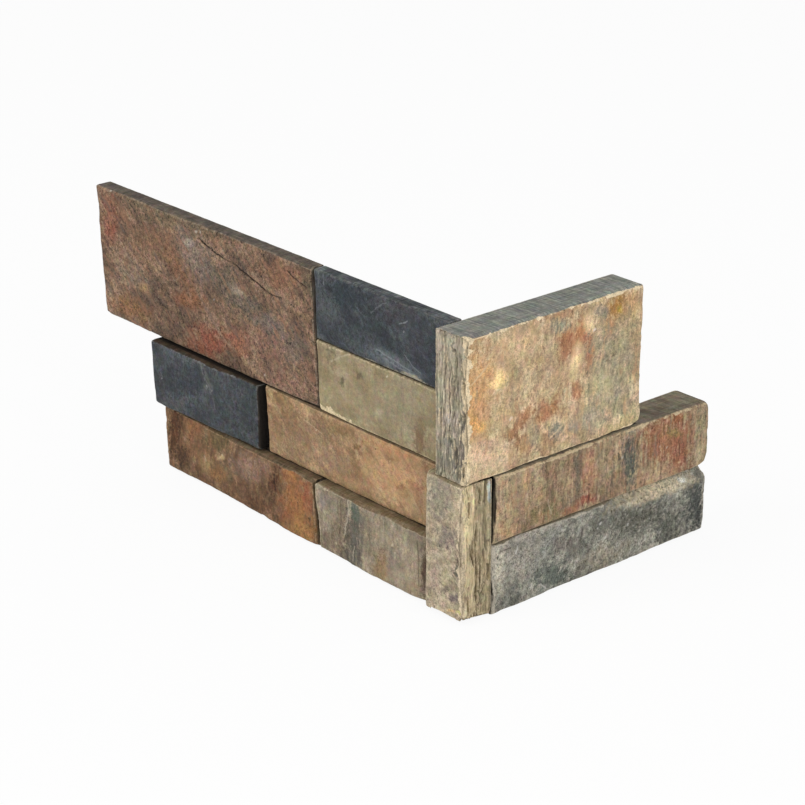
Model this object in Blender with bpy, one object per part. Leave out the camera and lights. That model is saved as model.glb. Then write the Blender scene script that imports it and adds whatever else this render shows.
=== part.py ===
"""Stone cladding corner piece: eleven strips of split slate bonded into an L that wraps an outside wall corner.

The wall corner is the frame every strip is placed in: the long leg runs towards -X with its back on y = 0 and the
short leg runs towards +Y with its back on x = 0. Metres, +Z up.
"""

import math

import bmesh
import bpy
from mathutils import Vector, noise

mm = 0.001

# Whole piece
total_height = 152.4 * mm
bed_joint = 1.0 * mm  # height of the resin joint between two courses
end_joint = 1.2 * mm  # width of the joint between two stones in one course
resin_clearance = 0.3 * mm  # between a resin film and the stone on each side of it
resin_recess = 2.6 * mm  # how far a film stops short of every stone edge
grid_pitch = 5.4 * mm  # spacing of the points that carry the split face
rim_width = 1.6 * mm  # worn strip along each front edge

# Courses, from the base
long_lower_height = 37.2 * mm
long_middle_height = 37.0 * mm  # the lap is at the head of this course on both legs
olive_height = 37.6 * mm
short_lower_height = 38.1 * mm

# How far each course reaches from the wall corner
upper_long_reach = 300.5 * mm
middle_long_reach = 245.6 * mm
lower_long_reach = 238.2 * mm
gold_reach = 103.6 * mm
middle_short_reach = 155.3 * mm
short_end_step = 0.7 * mm  # the lower course of the short leg stops this much earlier

# Joints along the long leg, as distances from the wall corner at the foot of the joint
upper_joint_at = 103.4 * mm
middle_joint_at = 149.2 * mm
lower_joint_at = 96.4 * mm
upper_joint_lean = 3.4 * mm  # how much further out the joint is at its head
middle_joint_taper = 2.8 * mm  # the open joint is this much wider at its foot
lower_joint_lean = 4.0 * mm

# Lap at the corner
corner_stone_width = 28.9 * mm
corner_stone_set_back = 7.4 * mm  # the corner stone starts this far before the wall corner
corner_stone_depth = 19.6 * mm
gold_overhang = 18.9 * mm  # the gold stone starts this far before the wall corner
return_gap = 1.3 * mm  # extra width of the dark joint beside the middle return, at its head

# Depths from the wall, left end then right end as seen from outside
rust_depths = (10.3 * mm, 8.7 * mm)
blue_depths = (8.5 * mm, 8.7 * mm)
olive_depths = (9.2 * mm, 9.2 * mm)
navy_depths = (15.2 * mm, 13.8 * mm)
tan_depths = (9.8 * mm, 9.8 * mm)
russet_depths = (12.6 * mm, 15.8 * mm)
grey_depths = (16.3 * mm, 15.2 * mm)
gold_depths = (22.2 * mm, 20.8 * mm)
gold_swell = 1.0 * mm  # the gold face stands this much further out near the wall corner
gold_swell_at = 24.0 * mm  # from the torn end
gold_swell_spread = 22.0 * mm
return_middle_depths = (22.4 * mm, 23.0 * mm)
return_lower_depths = (20.9 * mm, 21.6 * mm)

# Rough work
corner_stone_lift = 2.9 * mm  # the foot of the corner stone rises this much towards its face
split_relief = 1.7 * mm  # depth of the layers on the two torn ends
layer_pitch = 2.7 * mm  # thickness of one layer of slate on a torn end
chip_depth = 6.5 * mm  # spall along the top of the lower return
chip_drop = 9.0 * mm
chip_length = 62.0 * mm  # from the free end
chip_run_in = 16.0 * mm

# What follows from the sizes above
lower_short_reach = middle_short_reach - short_end_step
long_middle_foot = long_lower_height + bed_joint
short_middle_foot = short_lower_height + bed_joint
lap_level = long_middle_foot + long_middle_height
upper_foot = lap_level + bed_joint
blue_foot = upper_foot + olive_height + bed_joint


def clear_scene():
    for old in list(bpy.data.objects):
        bpy.data.objects.remove(old, do_unlink=True)


def new_material(name, colour, roughness):
    made = bpy.data.materials.new(name)
    made.use_nodes = True
    shader = made.node_tree.nodes["Principled BSDF"]
    shader.inputs["Base Color"].default_value = (*colour, 1.0)
    shader.inputs["Roughness"].default_value = roughness
    return made


def cut_places(length, pitch, rim):
    """Places of the cuts across a length: one rim in from each end and evenly between."""
    rim = min(rim, length / 6)
    count = max(1, round((length - 2 * rim) / pitch))
    step = (length - 2 * rim) / count
    return [rim + step * i for i in range(count + 1)]


def cut_block(length, depth, height, depth_cuts):
    """A cube sized to the stone, with cuts right round it in all three directions."""
    block = bmesh.new()
    bmesh.ops.create_cube(block, size=1.0)
    bmesh.ops.translate(block, verts=block.verts, vec=(0.5, -0.5, 0.5))
    bmesh.ops.scale(block, verts=block.verts, vec=(length, depth, height))
    planes = [((x, 0, 0), (1, 0, 0)) for x in cut_places(length, grid_pitch, rim_width)]
    planes += [((0, 0, z), (0, 0, 1)) for z in cut_places(height, grid_pitch, rim_width)]
    planes += [((0, -y, 0), (0, 1, 0)) for y in depth_cuts]
    for place, normal in planes:
        everything = block.verts[:] + block.edges[:] + block.faces[:]
        bmesh.ops.bisect_plane(block, geom=everything, dist=1e-7, plane_co=place, plane_no=normal)
    return block


def ease(value):
    value = min(1.0, max(0.0, value))
    return value * value * (3 - 2 * value)


def cleft(x, z, seed, depth):
    """How far a split face lies below its highest layer: flat terraces with short steps between them."""
    broad = noise.noise(Vector((x * 17, z * 26, seed)))
    level = (broad + 0.75) * 2.2
    terrace = math.floor(level) + ease((level % 1.0 - 0.3) / 0.4)
    fine = noise.noise(Vector((x * 75, z * 110, seed + 5.3)))
    return depth * min(1.0, max(0.0, 0.28 * terrace + 0.16 * fine))


def worn(x, y, z, seed):
    """Wear of an edge, from nothing to one."""
    return ease(0.5 + 0.75 * noise.noise(Vector((x * 90 + seed, y * 90, z * 90 - seed))))


def layers(across, z, seed):
    """Torn layers on a split end: ridges that run up the stone and wander a little."""
    wander = 0.5 * noise.noise(Vector((across * 120, z * 30, seed)))
    place = across / layer_pitch + wander
    ridge = 0.5 + 0.5 * math.sin(math.tau * place)
    broken = noise.noise(Vector((math.floor(place) * 7.1, z * 38, seed + 2.0)))
    return min(1.0, max(0.0, 0.62 * ridge + 0.5 * broken + 0.1))


def pull_to_arc(x, z, centre, radius, outward):
    """The point moved onto the arc when it lies beyond it in the outward quarter."""
    off_x, off_z = (x - centre[0]) * outward[0], (z - centre[1]) * outward[1]
    if radius <= 0 or off_x <= 0 or off_z <= 0:
        return x, z
    reach = math.hypot(off_x, off_z)
    if reach <= radius:
        return x, z
    return centre[0] + (x - centre[0]) * radius / reach, centre[1] + (z - centre[1]) * radius / reach


def make_stone(name, leg, ends, foot, head, depths, material, seed, rough, **shape):
    """One stone. ends gives its left and right edge as a pair (at the foot, at the head), along its leg."""
    (left_foot, left_head), (right_foot, right_head) = ends
    length, height, depth = right_foot - left_foot, head - foot, max(depths)
    torn = shape.get("torn")
    spacing = layer_pitch / 2 if torn else 6.5 * mm
    block = cut_block(length, depth, height, cut_places(depth, spacing, rim_width))
    corners = shape.get("corners", (0, 0, 0, 0))
    squares = (((1, 1), (-1, -1)), ((-1, 1), (1, -1)), ((1, -1), (-1, 1)), ((-1, -1), (1, 1)))
    for point in block.verts:
        x, y, z = point.co
        along, out, up = x / length, -y / depth, z / height
        on_left, on_right = along < 1e-4, along > 1 - 1e-4
        on_foot, on_head = up < 1e-4, up > 1 - 1e-4
        on_face = out > 1 - 1e-4
        wear = worn(x, y, z, seed) * rough
        # the split face, with worn arrises
        face_depth = depths[0] + (depths[1] - depths[0]) * along - cleft(x, z, seed, rough * 1.25)
        face_depth += shape.get("swell", lambda x: 0.0)(x) - shape.get("spall", lambda x, z: 0.0)(x, z)
        if on_left or on_right or on_foot or on_head:
            face_depth -= 0.35 * mm + 0.8 * wear
        y = -out * face_depth
        # the beds are sawn flat behind the arris and the ends are rougher all through
        rim_inset = (0.35 * mm + 0.45 * wear) if on_face else 0.0
        x += (rim_inset + 0.4 * out * wear) * (on_left - on_right)
        z += rim_inset * (on_foot - on_head)
        # torn layers on one end
        if torn == "right" and on_right:
            x -= split_relief * layers(-y, z, seed) * ease(out * 6)
        if torn == "left" and on_left:
            x += split_relief * layers(-y, z, seed) * ease(out * 6)
        if "lift" in shape and on_foot:
            z += shape["lift"] * out
        # rounded outline corners: foot left, foot right, head left, head right
        for radius, (inward, outward) in zip(corners, squares):
            centre = (radius if inward[0] > 0 else length - radius, radius if inward[1] > 0 else height - radius)
            x, z = pull_to_arc(x, z, centre, radius, outward)
        # the ends lean
        share = min(1.0, max(0.0, z / height))
        left = left_foot + (left_head - left_foot) * share
        right = right_foot + (right_head - right_foot) * share
        point.co = (left + (right - left) * x / length, y, z)
    backs = [face for face in block.faces if face.normal.y > 0.999 and abs(face.calc_center_median().y) < 1e-6]
    bmesh.ops.dissolve_faces(block, faces=backs, use_verts=False)
    bmesh.ops.recalc_face_normals(block, faces=block.faces)
    return finish(name, leg, block, foot, material)


def make_film(name, leg, ends, foot, head, back, front):
    """A flat film of cured resin inside a joint, leaning with the joint it fills."""
    (left_foot, left_head), (right_foot, right_head) = ends
    film = bmesh.new()
    bmesh.ops.create_cube(film, size=1.0)
    for point in film.verts:
        head_end = point.co.z > 0
        left, right = (left_head, right_head) if head_end else (left_foot, right_foot)
        point.co.x = right if point.co.x > 0 else left
        point.co.y = -back if point.co.y > 0 else -front
        point.co.z = head - foot if head_end else 0.0
    bmesh.ops.recalc_face_normals(film, faces=film.faces)
    return finish(name, leg, film, foot, resin)


def finish(name, leg, shape, foot, material):
    mesh = bpy.data.meshes.new(name)
    shape.to_mesh(mesh)
    shape.free()
    mesh.materials.append(material)
    made = bpy.data.objects.new(name, mesh)
    made.location.z = foot
    made.rotation_euler.z = math.pi / 2 if leg == "short" else 0.0
    made.parent = wall_corner
    piece.objects.link(made)
    return made


clear_scene()
piece = bpy.data.collections.new("stone_cladding_corner")
bpy.context.scene.collection.children.link(piece)
wall_corner = bpy.data.objects.new("wall_corner", None)
piece.objects.link(wall_corner)

rust_slate = new_material("rust_slate", (0.235, 0.150, 0.110), 0.75)
blue_slate = new_material("blue_slate", (0.085, 0.090, 0.100), 0.60)
olive_slate = new_material("olive_slate", (0.270, 0.230, 0.160), 0.65)
navy_slate = new_material("navy_slate", (0.080, 0.088, 0.098), 0.58)
tan_slate = new_material("tan_slate", (0.360, 0.240, 0.150), 0.70)
russet_slate = new_material("russet_slate", (0.220, 0.130, 0.085), 0.72)
grey_slate = new_material("grey_slate", (0.230, 0.205, 0.165), 0.74)
corner_slate = new_material("corner_slate", (0.300, 0.260, 0.200), 0.78)
gold_slate = new_material("gold_slate", (0.430, 0.310, 0.190), 0.72)
return_middle_slate = new_material("return_middle_slate", (0.250, 0.170, 0.120), 0.74)
return_lower_slate = new_material("return_lower_slate", (0.130, 0.125, 0.112), 0.70)
resin = new_material("cured_resin", (0.420, 0.370, 0.270), 0.45)


# Joint lines of the long leg, as the far side (left) and near side (right) at foot and head
def leaning(at, lean, side):
    return -at + side * end_joint / 2, -(at + lean) + side * end_joint / 2


upper_left_of_joint = leaning(upper_joint_at, upper_joint_lean, -1)
upper_right_of_joint = leaning(upper_joint_at, upper_joint_lean, 1)
lower_left_of_joint = leaning(lower_joint_at, lower_joint_lean, -1)
lower_right_of_joint = leaning(lower_joint_at, lower_joint_lean, 1)
upper_span = total_height - upper_foot


def upper_joint_level(z, side):
    """Edge of the upper joint at one height, so the two short stones beside it follow its lean."""
    share = (z - upper_foot) / upper_span
    foot_x, head_x = upper_right_of_joint if side > 0 else upper_left_of_joint
    return foot_x + (head_x - foot_x) * share


lap_edge = -end_joint
block_edge = -corner_stone_set_back - end_joint

# Long leg, upper course
make_stone(
    "upper_rust_stone", "long",
    ((-upper_long_reach + 3.4 * mm, -upper_long_reach), upper_left_of_joint),
    upper_foot, total_height, rust_depths, rust_slate, 3.1, 1.5 * mm,
    corners=(7.5 * mm, 0, 1.2 * mm, 0),
)
make_stone(
    "upper_blue_stone", "long",
    ((upper_joint_level(blue_foot, 1), upper_joint_level(total_height, 1)), (lap_edge, lap_edge)),
    blue_foot, total_height, blue_depths, blue_slate, 11.7, 0.7 * mm,
)
make_stone(
    "upper_olive_stone", "long",
    (
        (upper_joint_level(upper_foot, 1), upper_joint_level(upper_foot + olive_height, 1)),
        (lap_edge, lap_edge),
    ),
    upper_foot, upper_foot + olive_height, olive_depths, olive_slate, 17.9, 0.7 * mm,
    corners=(1.6 * mm, 0, 0, 0),
)
# Long leg, middle course, with an open joint that widens downwards
middle_left = -middle_joint_at - end_joint / 2
make_stone(
    "middle_navy_stone", "long",
    ((-middle_long_reach + 1.2 * mm, -middle_long_reach), (middle_left, middle_left - 0.6 * mm)),
    long_middle_foot, lap_level, navy_depths, navy_slate, 23.4, 0.8 * mm,
    corners=(2.8 * mm, 0, 1.0 * mm, 0),
)
make_stone(
    "middle_tan_stone", "long",
    ((middle_left + end_joint + middle_joint_taper, middle_left + end_joint), (block_edge, block_edge)),
    long_middle_foot, lap_level, tan_depths, tan_slate, 31.2, 1.0 * mm,
)
# Long leg, lower course
make_stone(
    "lower_russet_stone", "long",
    ((-lower_long_reach + 2.6 * mm, -lower_long_reach), lower_left_of_joint),
    0.0, long_lower_height, russet_depths, russet_slate, 37.6, 1.7 * mm,
    corners=(2.4 * mm, 0, 0.8 * mm, 0),
)
make_stone(
    "lower_grey_stone", "long",
    (lower_right_of_joint, (block_edge, block_edge)),
    0.0, long_lower_height, grey_depths, grey_slate, 43.3, 1.5 * mm,
    corners=(0, 0, 2.6 * mm, 4.0 * mm),
)
# The lap: the corner stone carries the lower courses round the corner and the gold stone the upper ones
make_stone(
    "corner_stone", "long",
    ((-corner_stone_set_back,) * 2, (corner_stone_width - corner_stone_set_back,) * 2),
    0.0, lap_level, (corner_stone_depth,) * 2, corner_slate, 52.8, 1.3 * mm,
    torn="right", lift=corner_stone_lift,
)
make_stone(
    "upper_gold_stone", "short",
    ((-gold_overhang,) * 2, (gold_reach,) * 2),
    upper_foot, total_height, gold_depths, gold_slate, 61.5, 1.8 * mm,
    torn="left", corners=(0, 2.4 * mm, 0, 1.0 * mm),
    swell=lambda x: gold_swell * ease(1 - abs(x - gold_swell_at) / gold_swell_spread),
)
# Short leg, middle and lower courses
return_left = end_joint
make_stone(
    "middle_return_stone", "short",
    ((return_left, return_left + return_gap), (middle_short_reach,) * 2),
    short_middle_foot, lap_level, return_middle_depths, return_middle_slate, 71.9, 1.4 * mm,
    corners=(0, 6.5 * mm, 0, 2.2 * mm),
)


def top_spall(x, z):
    """The broken band along the top of the lower return, on its far half."""
    along = ease((x - (lower_short_reach - return_left - chip_length - chip_run_in)) / chip_run_in)
    drop = chip_drop * (0.75 + 0.35 * noise.noise(Vector((x * 60, 0.0, 4.4))))
    return chip_depth * along * ease((z - (short_lower_height - drop)) / drop)


make_stone(
    "lower_return_stone", "short",
    ((return_left,) * 2, (lower_short_reach,) * 2),
    0.0, short_lower_height, return_lower_depths, return_lower_slate, 83.7, 1.9 * mm,
    corners=(0, 2.4 * mm, 0, 0), spall=top_spall,
)

# Resin films in the bed joints
film_back = resin_recess


def bed_film(name, leg, left, right, foot, thinnest):
    low, high = foot + resin_clearance, foot + bed_joint - resin_clearance
    make_film(name, leg, ((left, left), (right, right)), low, high, film_back, thinnest - resin_recess)


bed_film(
    "upper_split_film", "long", -upper_joint_at + resin_recess, lap_edge - resin_recess,
    blue_foot - bed_joint, min(*blue_depths, *olive_depths),
)
bed_film(
    "upper_bed_film", "long", -middle_long_reach + 2 * resin_recess, block_edge - resin_recess,
    upper_foot - bed_joint, min(*rust_depths, *olive_depths, *tan_depths),
)
bed_film(
    "lower_bed_film", "long", -lower_long_reach + 2 * resin_recess, block_edge - resin_recess,
    long_middle_foot - bed_joint, min(*tan_depths, *russet_depths),
)
bed_film(
    "gold_bed_film", "short", return_left + return_gap + resin_recess, gold_reach - resin_recess,
    lap_level, min(*gold_depths, *return_middle_depths),
)
bed_film(
    "return_bed_film", "short", return_left + resin_recess, min(middle_short_reach, lower_short_reach) - 3 * resin_recess,
    short_lower_height, min(*return_middle_depths, *return_lower_depths) - chip_depth,
)
bed_film(
    "corner_bed_film", "long", resin_recess, corner_stone_width - corner_stone_set_back - 2 * resin_recess,
    lap_level, min(corner_stone_depth, gold_overhang) - resin_recess,
)

# Resin films in the end joints
def end_film(name, leg, foot_x, head_x, foot, head, thinnest):
    half = end_joint / 2 - resin_clearance
    ends = ((foot_x - half, head_x - half), (foot_x + half, head_x + half))
    make_film(name, leg, ends, foot, head, film_back, thinnest - resin_recess)


def between(low, high, z, foot, head):
    return low + (high - low) * (z - foot) / (head - foot)


film_foot, film_head = upper_foot + resin_recess, total_height - resin_recess
end_film(
    "upper_end_film", "long",
    between(-upper_joint_at, -upper_joint_at - upper_joint_lean, film_foot, upper_foot, total_height),
    between(-upper_joint_at, -upper_joint_at - upper_joint_lean, film_head, upper_foot, total_height),
    film_foot, film_head, min(*rust_depths, *blue_depths, *olive_depths),
)
film_head = long_lower_height - resin_recess
end_film(
    "lower_end_film", "long",
    between(-lower_joint_at, -lower_joint_at - lower_joint_lean, resin_recess, 0.0, long_lower_height),
    between(-lower_joint_at, -lower_joint_at - lower_joint_lean, film_head, 0.0, long_lower_height),
    resin_recess, film_head, min(*russet_depths, *grey_depths),
)
end_film(
    "upper_lap_film", "long", lap_edge / 2, lap_edge / 2,
    upper_foot + resin_recess, total_height - resin_recess, min(*blue_depths, *olive_depths),
)
end_film(
    "lower_lap_film", "short", end_joint / 2, end_joint / 2, resin_recess, short_lower_height - resin_recess,
    min(*return_lower_depths) - resin_recess,
)
end_film(
    "corner_end_film", "long", block_edge + end_joint / 2, block_edge + end_joint / 2,
    long_middle_foot + resin_recess, lap_level - resin_recess, min(tan_depths),
)

# Stand the piece on its base with its bounding box centred on the origin
bpy.context.view_layer.update()
corners = [made.matrix_world @ point.co for made in piece.objects if made.type == "MESH" for point in made.data.vertices]
low = [min(corner[axis] for corner in corners) for axis in range(3)]
high = [max(corner[axis] for corner in corners) for axis in range(3)]
wall_corner.location = (-(low[0] + high[0]) / 2, -(low[1] + high[1]) / 2, -low[2])
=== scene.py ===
import math

import bpy
import numpy as np
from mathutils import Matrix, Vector


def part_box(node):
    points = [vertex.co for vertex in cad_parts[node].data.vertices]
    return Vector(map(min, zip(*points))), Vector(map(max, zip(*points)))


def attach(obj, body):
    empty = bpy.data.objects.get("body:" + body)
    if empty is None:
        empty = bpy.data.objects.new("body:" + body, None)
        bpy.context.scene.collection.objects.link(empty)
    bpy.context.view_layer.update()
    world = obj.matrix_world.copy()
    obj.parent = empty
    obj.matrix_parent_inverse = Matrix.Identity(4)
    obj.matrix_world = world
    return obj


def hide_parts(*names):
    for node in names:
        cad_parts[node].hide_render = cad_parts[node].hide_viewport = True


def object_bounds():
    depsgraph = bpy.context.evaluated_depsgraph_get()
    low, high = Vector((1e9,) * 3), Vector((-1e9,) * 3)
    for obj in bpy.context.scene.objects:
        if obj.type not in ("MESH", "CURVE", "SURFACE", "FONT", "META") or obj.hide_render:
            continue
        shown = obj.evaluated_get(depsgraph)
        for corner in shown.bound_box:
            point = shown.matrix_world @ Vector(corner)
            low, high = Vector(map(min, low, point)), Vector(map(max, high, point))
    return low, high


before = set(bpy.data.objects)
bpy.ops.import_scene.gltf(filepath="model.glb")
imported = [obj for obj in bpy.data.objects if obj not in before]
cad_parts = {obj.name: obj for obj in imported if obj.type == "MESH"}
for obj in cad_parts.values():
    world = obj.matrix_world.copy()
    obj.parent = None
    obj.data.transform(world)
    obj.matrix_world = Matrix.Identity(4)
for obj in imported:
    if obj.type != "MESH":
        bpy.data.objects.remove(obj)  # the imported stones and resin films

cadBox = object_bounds()

# the outside corner of the wall, where the backs of the two legs meet
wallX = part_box("upper_gold_stone")[0].x
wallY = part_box("corner_stone")[1].y
perMetre = 1000.0  # the sculpting and the patterns are worked out in millimetres from that corner
mergeWithin = 0.000001  # metres; only doubled points are that close
flatBack = 0.05  # millimetres from the wall that still count as the back of a stone
stainDepth = 120  # millimetres; a stain goes through any stone, so it wraps over the arrises


def onlyThis(thing):
    bpy.ops.object.select_all(action="DESELECT")
    thing.select_set(True)
    bpy.context.view_layer.objects.active = thing


def mergedCopy(name, node):
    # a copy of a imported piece, with its doubled points merged, to work on
    piece = bpy.data.objects.new(name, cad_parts[node].data.copy())
    bpy.context.scene.collection.objects.link(piece)
    onlyThis(piece)
    bpy.ops.object.mode_set(mode="EDIT")
    bpy.ops.mesh.select_all(action="SELECT")
    bpy.ops.mesh.remove_doubles(threshold=mergeWithin)
    bpy.ops.object.mode_set(mode="OBJECT")
    return piece


def tone(red, green, blue):
    # screen values from 0 to 255, made linear
    made = []
    for value in (red, green, blue):
        value = value / 255
        made.append(value / 12.92 if value <= 0.04045 else ((value + 0.055) / 1.055) ** 2.4)
    return (*made, 1.0)


class Wire:  # one output of a node; + - * / on it add the nodes that work it out
    def __init__(self, tree, socket=None):
        self.tree = tree
        self.socket = socket

    def node(self, kind, settings=None, sockets=None, output=0):
        made = self.tree.nodes.new(kind)
        for name, value in (settings or {}).items():
            if name == "stops":
                while len(made.color_ramp.elements) < len(value):
                    made.color_ramp.elements.new(0.5)
                for element, (place, shade) in zip(made.color_ramp.elements, value):
                    element.position = place
                    element.color = shade
            else:
                setattr(made, name, value)
        for name, value in (sockets or {}).items():
            if isinstance(value, Wire):
                self.tree.links.new(value.socket, made.inputs[name])
            else:
                made.inputs[name].default_value = value
        return Wire(self.tree, made.outputs[output])

    def maths(self, operation, first, second=0.0):
        return self.node("ShaderNodeMath", {"operation": operation}, {0: first, 1: second})

    def __add__(self, other):
        return self.maths("ADD", self, other)

    def __radd__(self, other):
        return self.maths("ADD", other, self)

    def __sub__(self, other):
        return self.maths("SUBTRACT", self, other)

    def __rsub__(self, other):
        return self.maths("SUBTRACT", other, self)

    def __mul__(self, other):
        return self.maths("MULTIPLY", self, other)

    def __rmul__(self, other):
        return self.maths("MULTIPLY", other, self)

    def __abs__(self):
        return self.maths("ABSOLUTE", self)

    def most(self, other):
        return self.maths("MAXIMUM", self, other)

    def swing(self, amount):
        # noise from 0 to 1 made into a change of up to half the amount either way
        return (self - 0.5) * amount

    def ease(self, low, high):
        # 0 at low, 1 at high, and smooth between them
        return self.node(
            "ShaderNodeMapRange",
            {"interpolation_type": "SMOOTHSTEP"},
            {"Value": self, "From Min": low, "From Max": high},
        )

    def shift(self, other):
        return self.node("ShaderNodeVectorMath", {"operation": "ADD"}, {0: self, 1: other})

    def times(self, other):
        return self.node("ShaderNodeVectorMath", {"operation": "MULTIPLY"}, {0: self, 1: other})

    def grow(self, amount):
        return self.node("ShaderNodeVectorMath", {"operation": "SCALE"}, {0: self, "Scale": amount})

    def placed(self, centre, turn, sizes):
        # this place seen from a centre, along turned axes, in lengths of the given sizes
        return self.node(
            "ShaderNodeMapping",
            {"vector_type": "TEXTURE"},
            {"Vector": self, "Location": centre, "Rotation": turn, "Scale": sizes},
        )

    def cloud(self, size, detail=3.0, rough=0.55, seed=0.0, output=0):
        # noise with blobs about size across; output 1 is the same in three channels
        moved = self.shift((seed * 31.7, seed * -17.3, seed * 23.9)) if seed else self
        return self.node(
            "ShaderNodeTexNoise",
            {},
            {"Vector": moved, "Scale": 1.0 / size, "Detail": detail, "Roughness": rough},
            output,
        )

    def ramp(self, places, shades):
        return self.node("ShaderNodeValToRGB", {"stops": list(zip(places, shades))}, {0: self})

    def paint(self, mask, shade):
        # this colour with another laid over it where the mask is 1
        return self.node("ShaderNodeMix", {"data_type": "RGBA"}, {0: mask, 6: self, 7: shade}, 2)


def legTurn(leg, degrees):
    # a turn in the plane of the leg's face
    angle = math.radians(degrees)
    return (0, -angle, 0) if leg == "long" else (angle, 0, 0)


def legPlace(leg, along, out, up):
    return (along, -out, up) if leg == "long" else (out, along, up)


def legSizes(leg, along, out, up):
    return (along, out, up) if leg == "long" else (out, along, up)


def drawnOut(place, leg, degrees, longer):
    # this place stretched along one direction of the face, so that a pattern on it runs that way
    return place.placed((0, 0, 0), legTurn(leg, degrees), legSizes(leg, longer, 1, 1))


def stained(colour, place, leg, stain, ragged, soft):
    # a colour with an ellipse of another on it, whose rim is torn by the stone's own noise
    along, up, reach, rise, turn, shade, strength = stain
    sizes = legSizes(leg, reach, stainDepth, rise)
    local = place.placed(legPlace(leg, along, 0, up), legTurn(leg, turn), sizes)
    off = local.node("ShaderNodeVectorMath", {"operation": "LENGTH"}, {0: local}, "Value") + ragged
    return colour.paint(off.ease(1.0 + soft, 1.0 - soft) * strength, tone(*shade))


def lineMask(place, leg, points, width):
    # a thin broken line through the points
    mask = None
    for start, end in zip(points, points[1:]):
        run, climb = end[0] - start[0], end[1] - start[1]
        length = math.hypot(run, climb)
        turn = math.degrees(math.atan2(climb, run))
        sizes = legSizes(leg, length, 1, width)
        local = place.placed(legPlace(leg, start[0], 0, start[1]), legTurn(leg, turn), sizes)
        parts = [local.node("ShaderNodeSeparateXYZ", sockets={0: local}, output=axis) for axis in "XYZ"]
        along = parts[0] if leg == "long" else parts[1]
        ends = along.ease(-0.06, 0.04) * along.ease(1.06, 0.96)
        here = abs(parts[2]).ease(1.0, 0.35) * ends
        mask = here if mask is None else mask.most(here)
    return mask


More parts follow.
